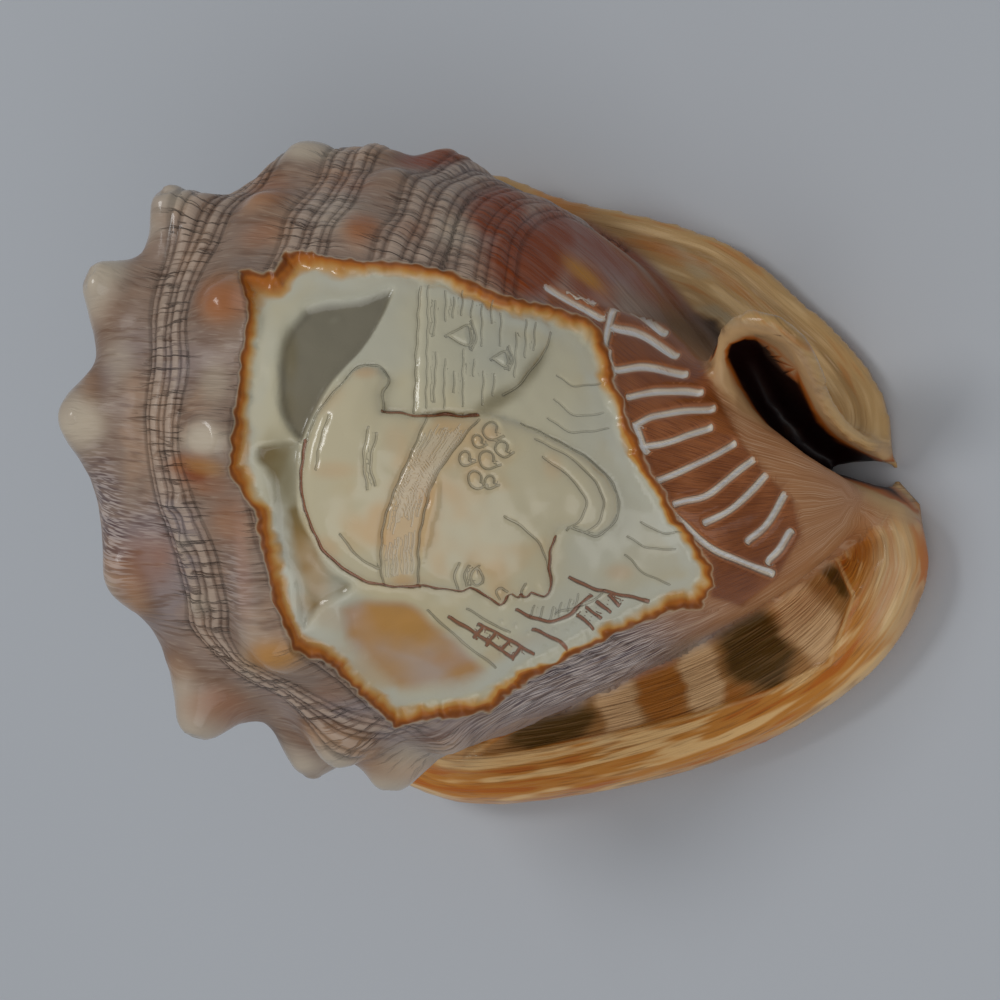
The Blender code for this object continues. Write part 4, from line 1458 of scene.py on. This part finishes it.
def glossy(colour, rough, coat, height):
    """A glazed ground of this colour, with fine relief of this height in mm."""
    relief = colour.node("ShaderNodeBump", (), {"Strength": 1.0, "Distance": MM, "Height": height})
    inputs = {
        "Base Color": colour, "Roughness": rough, "Coat Weight": coat, "Coat Roughness": 0.14,
        "Specular IOR Level": 0.25, "Normal": relief,
    }
    return colour.node("ShaderNodeBsdfPrincipled", (), inputs)


def shell_marks(base):
    """What is stored at each point of the shell, and the grains that its grounds share."""
    at = SimpleNamespace()
    for name, parts in STORED.items():
        for part, wire in zip(parts, base.stored(name)):
            setattr(at, part, wire)
    at.hollow_deep = at.hollow_deep.ramp(-1.0, 6.0)
    at.hollow_side = at.hollow_side.ramp(-1.0, 7.0)
    at.hollow_low = at.hollow_low.ramp(-1.0, 16.0)
    here = base.node("ShaderNodeTexCoord", output=3)
    at.clouds = base.grain(here, 75.0, 2.0, 0.55)
    at.chips = base.grain(here, 170.0, 1.5, 0.6)
    at.broad = base.grain(here, 34.0, 1.0, 0.5)
    at.matt = 0.36 + 0.12 * at.chips
    return at


def lined(colour, base, at):
    """This colour with the canal, painted shade deep in it, the room and the underside laid over it."""
    canal = base.tone(166, 136, 98).coated(
        ((150, 84, 36), at.canal_deep.ramp(0.03, 0.25)),
        # near black deep in the canal: painted shade
        ((30, 5, 3), at.canal_deep.ramp(0.22, 0.5)),
    )
    inner = base.tone(176, 140, 104).blend((168, 104, 60), at.clouds.ramp(0.45, 0.65) * 0.6)
    return colour.blend(canal, at.canal_part).blend(inner, at.hidden * (1.0 - at.canal_part))


def whorl_ground(base, at):
    """Ribbed and knobbed whorl, with the brown layer beside the panel."""
    # Growth marks run along the shell and crowd together round it
    growth = base.grain(base.vector(at.place * 0.10, at.turn * 0.95, at.knob * 0.2), 1.0, 2.0, 0.6)
    fine_growth = base.grain(base.vector(at.place * 0.25, at.turn * 2.6, 0.0), 1.0, 1.0, 0.6)

    # Cords side by side, cut into beads
    cords = base.node("ShaderNodeFloatCurve", (), {1: at.band * 0.1 + 0.5})
    curve = cords.socket.node.mapping.curves[0]
    for start, stop, height in BAND_CORDS:
        for share in (0.0, 0.15, 0.5, 0.85, 1.0):
            rise = height * (1 - (2 * share - 1) ** 2)
            curve.points.new((start + (stop - start) * share) / 10 + 0.5, rise).handle_type = "AUTO_CLAMPED"
    cords.socket.node.mapping.update()
    in_band = at.beside_band.ramp(4.4, 5.0, 1.0, 0.0) * at.band_strength
    beside = at.beside_band.ramp(4.6, 8.8, 1.0, 0.0) * at.plain
    between = cords.ramp(0.02, 0.35, 1.0, 0.0).over(abs(at.beside_band - 4.7).ramp(0.0, 0.5, 1.0, 0.0))
    between = between * at.beside_band.ramp(4.9, 5.5, 1.0, 0.0) * at.band_strength
    bead = abs((at.turn * 1.75 + growth * 7.0 + at.band * 0.16).sine()).ramp(0.0, 0.5)
    cut_depth = base.grain(base.vector(at.band * 0.12, at.turn * 0.4, 3.0), 1.0, 0.0)
    cut_depth = cut_depth.ramp(0.36, 0.6, 0.2, 1.0)
    cuts = (1.0 - bead) * cut_depth

    foot = at.knob.ramp(0.6, 2.2) * at.knob.ramp(2.4, 4.6, 1.0, 0.0)
    flank = at.knob.ramp(1.2, 4.0) * at.knob.ramp(4.0, 8.0, 1.0, 0.0)
    body = base.tone(124, 105, 92).coated(
        ((128, 117, 117), at.broad.ramp(0.5, 0.62) * 0.7),
        ((148, 120, 98), at.clouds.ramp(0.5, 0.66) * 0.55),
        ((98, 76, 62), growth.ramp(0.5, 0.68) * 0.65),
        ((98, 74, 58), foot * at.broad.ramp(0.42, 0.55) * 0.5),
        ((164, 150, 134), fine_growth.ramp(0.52, 0.7) * 0.22),
        # paler knob tops: partly own pale tips, partly painted highlight
        ((158, 146, 130), at.knob.ramp(2.0, 7.5) * (0.5 + 0.5 * at.clouds.ramp(0.4, 0.55))),
        ((154, 112, 72), flank * at.broad.ramp(0.46, 0.6) * 0.6),
        # paler cord crests on the beads: partly own colour, partly painted highlight
        ((164, 146, 130), in_band * cords.ramp(0.4, 0.9) * bead * 0.6),
    )
    skin = body.coated(
        ((176, 164, 144), at.cream * 0.95),
        ((136, 80, 40), at.orange * (0.6 + 0.4 * at.clouds.ramp(0.35, 0.6))),
        ((112, 52, 6), (at.brown * 1.5).under(1.0) * (0.85 + 0.15 * growth.ramp(0.4, 0.6))),
        ((156, 108, 46), at.amber),
        # violet ridge, and painted shade on the spire
        ((66, 54, 62), (at.violet * 1.4).under(1.0) * (0.3 + 0.6 * growth.ramp(0.4, 0.58))),
        ((190, 176, 168), (at.violet * 1.2).under(1.0) * fine_growth.ramp(0.46, 0.58) * 0.75),
        ((168, 132, 116), at.pink * 0.7),
        # olive patches, partly painted shadow in the hollow beside the canal
        ((72, 50, 30), at.olive * 0.95),
    )
    # Painted shade in the grooves between the cords and in the cuts between the beads
    skin = skin.shade(1.0 - between * 0.32)
    skin = skin.shade(1.0 - cuts * (in_band * 0.3).over(beside * 0.2))
    skin = skin.coated(
        ((152, 106, 68), at.fasciole * 0.8),
        ((190, 168, 142), at.fasciole * growth.ramp(0.46, 0.36) * 0.3),
        ((112, 70, 40), at.fasciole * growth.ramp(0.5, 0.6) * 0.3),
    )

    # Brown layer with chalky scratches
    rusty = base.tone(116, 64, 30).coated(
        ((148, 90, 52), at.clouds.ramp(0.48, 0.66) * 0.6),
        ((88, 44, 20), fine_growth.ramp(0.5, 0.66) * 0.6),
    )
    waver = at.rays_side + (at.clouds - 0.5) * 5.0
    chalk = line_mask(waver, at.rays_near, 2.6, 1.8)
    chalk_edge = line_mask(waver, at.rays_near, 4.4, 2.4)
    rusty = rusty.coated(
        ((160, 104, 68), chalk_edge * 0.6),
        ((196, 182, 164), chalk * (0.72 + 0.28 * at.chips.ramp(0.35, 0.55))),
        ((214, 210, 202), line_mask(waver, at.rays_near, 0.8, 1.2) * 0.8),
    )
    skin = skin.blend(rusty, at.rays_field)

    body_height = (in_band * (cords * 0.4 + bead * cut_depth * 0.45)).over(beside * bead * cut_depth * 0.2)
    body_height = body_height + (fine_growth * 0.1 + growth * 0.25) * (1.0 - at.fasciole * 0.7)
    body_height = body_height * at.plain + (fine_growth * 0.25 - chalk * 0.45) * at.rays_field
    shine = (at.rays_field * 0.6).over(at.knob.ramp(1.5, 5.0) * 0.85).over(0.12)
    rough = at.matt - 0.06 * at.rays_field + 0.1 * between
    return glossy(lined(skin, base, at), rough, shine, body_height)


def flange_ground(base, at):
    """Rolled lip and shield, whose growth bands lie along the edge."""
    from_edge = at.shield_edge + (at.edge - at.shield_edge) * at.is_lip
    round_edge = at.shield_place + (at.edge_place - at.shield_place) * at.is_lip
    lip_bands = base.grain(base.vector(from_edge * 0.42, round_edge * 0.035, at.is_lip), 1.0, 2.0, 0.62)
    lip_fine = base.grain(base.vector(from_edge * 2.0, round_edge * 0.08, at.is_lip), 1.0, 1.0, 0.6)
    streaky = 0.3 + 0.7 * at.seen
    lip = base.tone(166, 108, 44).coated(
        ((194, 156, 104), lip_bands.ramp(0.5, 0.6) * streaky),
        ((156, 84, 18), lip_bands.ramp(0.47, 0.38) * 0.9 * streaky),
        ((176, 146, 104), at.edge.ramp(2.6, 0.4) * lip_fine.ramp(0.4, 0.55) * 0.6),
        ((112, 66, 28), lip_fine.ramp(0.58, 0.7) * 0.45),
        ((92, 64, 34), at.broad.ramp(0.5, 0.58) * at.edge.ramp(9.0, 13.0) * (1.0 - at.seen) * 0.3),
    )
    in_valley = at.valley.ramp(-1.0, 2.5)
    floor = base.tone(146, 104, 60).coated(
        ((80, 58, 28), at.bar_dark),
        ((148, 92, 40), at.bar_rust),
        ((190, 154, 112), at.bar_pale),
        ((134, 100, 64), lip_fine.ramp(0.5, 0.66) * 0.3),
    )
    brink = abs(at.valley + 2.5).ramp(0.6, 3.0, 1.0, 0.0)
    lip = lip.coated(
        (floor, in_valley),
        ((182, 142, 92), brink * (0.4 + 0.6 * at.clouds.ramp(0.4, 0.6))),
    )
    shield = base.tone(160, 128, 84).coated(
        ((186, 156, 112), lip_bands.ramp(0.5, 0.64) * 0.8),
        ((154, 98, 46), lip_bands.ramp(0.46, 0.36) * 0.6),
        ((122, 92, 54), at.shield_edge.ramp(3.4, 4.2) * at.shield_edge.ramp(5.2, 4.4) * 0.5),
        # painted shadow in the hollow between the whorl and the shield, beside the canal
        ((58, 40, 22), at.bar_dark),
        ((150, 136, 108), at.bar_pale * 0.8),
    )
    flange = shield.coated(
        (lip, at.is_lip),
        ((176, 152, 114), at.cream * (0.7 + 0.3 * lip_fine.ramp(0.4, 0.6)) * (1.0 - in_valley)),
        ((156, 90, 26), at.orange * 0.85 * (1.0 - in_valley)),
        ((104, 66, 34), at.brown * 0.8 * (1.0 - in_valley)),
    )
    return glossy(lined(flange, base, at), at.matt - 0.1, 0.5, lip_fine * 0.4)


def panel_ground(base, at):
    """Carved panel: the broken edge of the layers, then the white one, then the cream ground."""
    ivory = base.tone(172, 165, 140).coated(
        ((172, 156, 118), at.clouds.ramp(0.46, 0.66) * 0.55),
        ((158, 158, 146), at.broad.ramp(0.5, 0.38) * 0.5),
    )
    relief = at.bust.ramp(0.0, 6.0)
    ivory = ivory.coated(
        ((170, 158, 128), relief * 0.55),
        ((174, 132, 80), relief * (at.clouds * at.broad).ramp(0.28, 0.4) * 0.5),
        ((146, 148, 136), at.grey * 0.5 * (1.0 - relief)),
    )
    ground = 1.0 - relief
    ivory = ivory.coated(
        ((104, 98, 82), at.hollow_deep * ground * 0.95),
        ((100, 86, 56), at.hollow_deep * ground * at.broad.ramp(0.46, 0.6) * 0.8),
        ((150, 148, 130), at.hollow_deep * ground * at.clouds.ramp(0.55, 0.64) * 0.6),
        ((134, 130, 112), at.hollow_side * ground * 0.7),
        ((104, 86, 50), at.hollow_side * ground * at.clouds.ramp(0.45, 0.55) * 0.9),
        ((156, 128, 112), at.hollow_low * ground * 0.75),
        ((160, 116, 56), at.hollow_low * ground * at.clouds.ramp(0.4, 0.62) * 0.9),
        # olive patches, partly painted shadow under the raised edge of the sea
        ((98, 86, 52), at.olive * ground * 0.8),
        ((162, 118, 58), at.amber * 0.7 * ground),
        ((160, 120, 92), at.pink * 0.5),
        ((176, 126, 74), at.orange * 0.7),
    )
    white_rim = at.ragged.ramp(5.0, 12.0) * at.ragged.ramp(15.0, 30.0, 1.0, 0.0)
    ivory = ivory.blend((170, 170, 156), white_rim * (0.25 + 0.5 * at.clouds.ramp(0.4, 0.6)))
    fade = (at.chips - 0.5) * 12.0 - (at.clouds - 0.45) * 20.0
    reach = 1.0 / at.border_width.over(0.2)
    broken = at.ragged.ramp(-3.0, 1.0) * ((at.ragged + fade) * reach).ramp(3.0, 10.0, 1.0, 0.0)
    panel = ivory.blend((168, 124, 62), broken * 0.95)
    core = at.ragged.ramp(-3.0, 0.5) * ((at.ragged + fade * 0.7) * reach).ramp(1.0, 5.0, 1.0, 0.0)
    outermost = at.ragged.ramp(-3.5, -0.5) * (at.ragged + fade * 0.3).ramp(-0.8, 2.0, 1.0, 0.0)
    panel = panel.coated(
        ((146, 84, 32), core * 0.95),
        ((102, 54, 22), outermost * 0.85),
    )
    masks = [line_mask(*base.stored(name)[:2], *widths) for name, widths in CUTS.items()]
    red_line, cut_line, fine_line, hatch_line = masks
    uneven = 0.35 + 0.65 * at.clouds.ramp(0.4, 0.58)
    panel = panel.coated(
        ((120, 112, 90), cut_line * 0.55 * uneven),
        ((126, 120, 98), fine_line * 0.5 * uneven),
        ((178, 168, 148), hatch_line * 0.5),
        ((118, 60, 28), red_line * 0.85),
    )

    in_panel = at.ragged.ramp(2.0, 8.0)
    hollow = at.hollow_deep.over(at.hollow_side * 2.0).over(at.hollow_low)
    tool_marks = (1.0 - relief * 0.75) * (hollow * 0.4 + 0.12)
    line_depth = cut_line * 0.2 + fine_line * 0.16 + red_line * 0.28 + hatch_line * 0.1
    panel_height = at.chips * tool_marks - line_depth
    return glossy(panel, at.matt - 0.16 * in_panel, in_panel.over(0.12), panel_height * in_panel)


def shell_finish(shell):
    material = bpy.data.materials.new("carved_shell_finish")
    material.use_nodes = True
    tree = material.node_tree
    tree.nodes.remove(tree.nodes["Principled BSDF"])
    base = Wire(tree)
    at = shell_marks(base)
    grounds = {0: at.flange_part, 1: whorl_ground(base, at), 2: flange_ground(base, at)}
    grown = base.node("ShaderNodeMixShader", (), grounds)
    grounds = {0: at.ragged.ramp(-3.5, -1.0), 1: grown, 2: panel_ground(base, at)}
    whole = base.node("ShaderNodeMixShader", (), grounds)
    tree.links.new(whole.socket, tree.nodes["Material Output"].inputs["Surface"])
    shell.data.materials.clear()
    shell.data.materials.append(material)


def floor_finish():
    material = bpy.data.materials.new("studio_floor")
    material.use_nodes = True
    tree = material.node_tree
    surface = tree.nodes["Principled BSDF"]
    base = Wire(tree)
    here = base.node("ShaderNodeTexCoord", output=3)
    colour = base.node("ShaderNodeRGB")
    colour.socket.default_value = FLOOR_COLOUR
    colour = colour.shade(base.grain(here, 2.0, 2.0).ramp(0.3, 0.7, 0.98, 1.02))
    tree.links.new(colour.socket, surface.inputs["Base Color"])
    surface.inputs["Roughness"].default_value = 0.85
    return material


def studio():
    """Floor, lights and camera."""
    bpy.ops.object.select_all(action="DESELECT")
    bpy.ops.mesh.primitive_plane_add(size=6.0, location=(0, 0, 0))
    floor = bpy.context.object
    floor.name = "studio_floor_plane"
    floor.data.materials.append(floor_finish())
    world = bpy.data.worlds.new("studio")
    bpy.context.scene.world = world
    world.use_nodes = True
    world.node_tree.nodes["Background"].inputs[0].default_value = (0.93, 0.96, 1.0, 1.0)
    world.node_tree.nodes["Background"].inputs[1].default_value = SKY_STRENGTH
    for name, place, size, power in LAMPS:
        light = bpy.data.lights.new(name, "AREA")
        light.shape = "RECTANGLE"
        light.size, light.size_y = size
        light.energy = power
        lamp = bpy.data.objects.new(name, light)
        bpy.context.scene.collection.objects.link(lamp)
        lamp.location = place
        lamp.rotation_euler = (-Vector(place)).to_track_quat("-Z", "Y").to_euler()
    right, up, back = view_axes()
    target = (VIEW_TARGET + DRAWN_TO_PACKED) * MM
    camera = bpy.data.objects.new("camera", bpy.data.cameras.new("camera"))
    bpy.context.scene.collection.objects.link(camera)
    camera.data.sensor_width = SENSOR
    camera.data.lens = SENSOR * VIEW_ZOOM * VIEW_FAR / 1000
    turn = Matrix((right, up, back)).transposed().to_4x4()
    camera.matrix_world = Matrix.Translation(Vector(target + back * VIEW_FAR * MM)) @ turn
    bpy.context.scene.camera = camera
    bpy.context.scene.view_settings.view_transform = "Standard"


def main():
    shell = base_form()
    fine_skin(shell)
    carve(shell)
    thin_out(shell)
    fit_in_box(shell)
    pick(shell)
    bpy.ops.object.shade_smooth()
    shell_finish(shell)
    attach(shell, "root")
    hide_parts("shell")
    studio()


main()
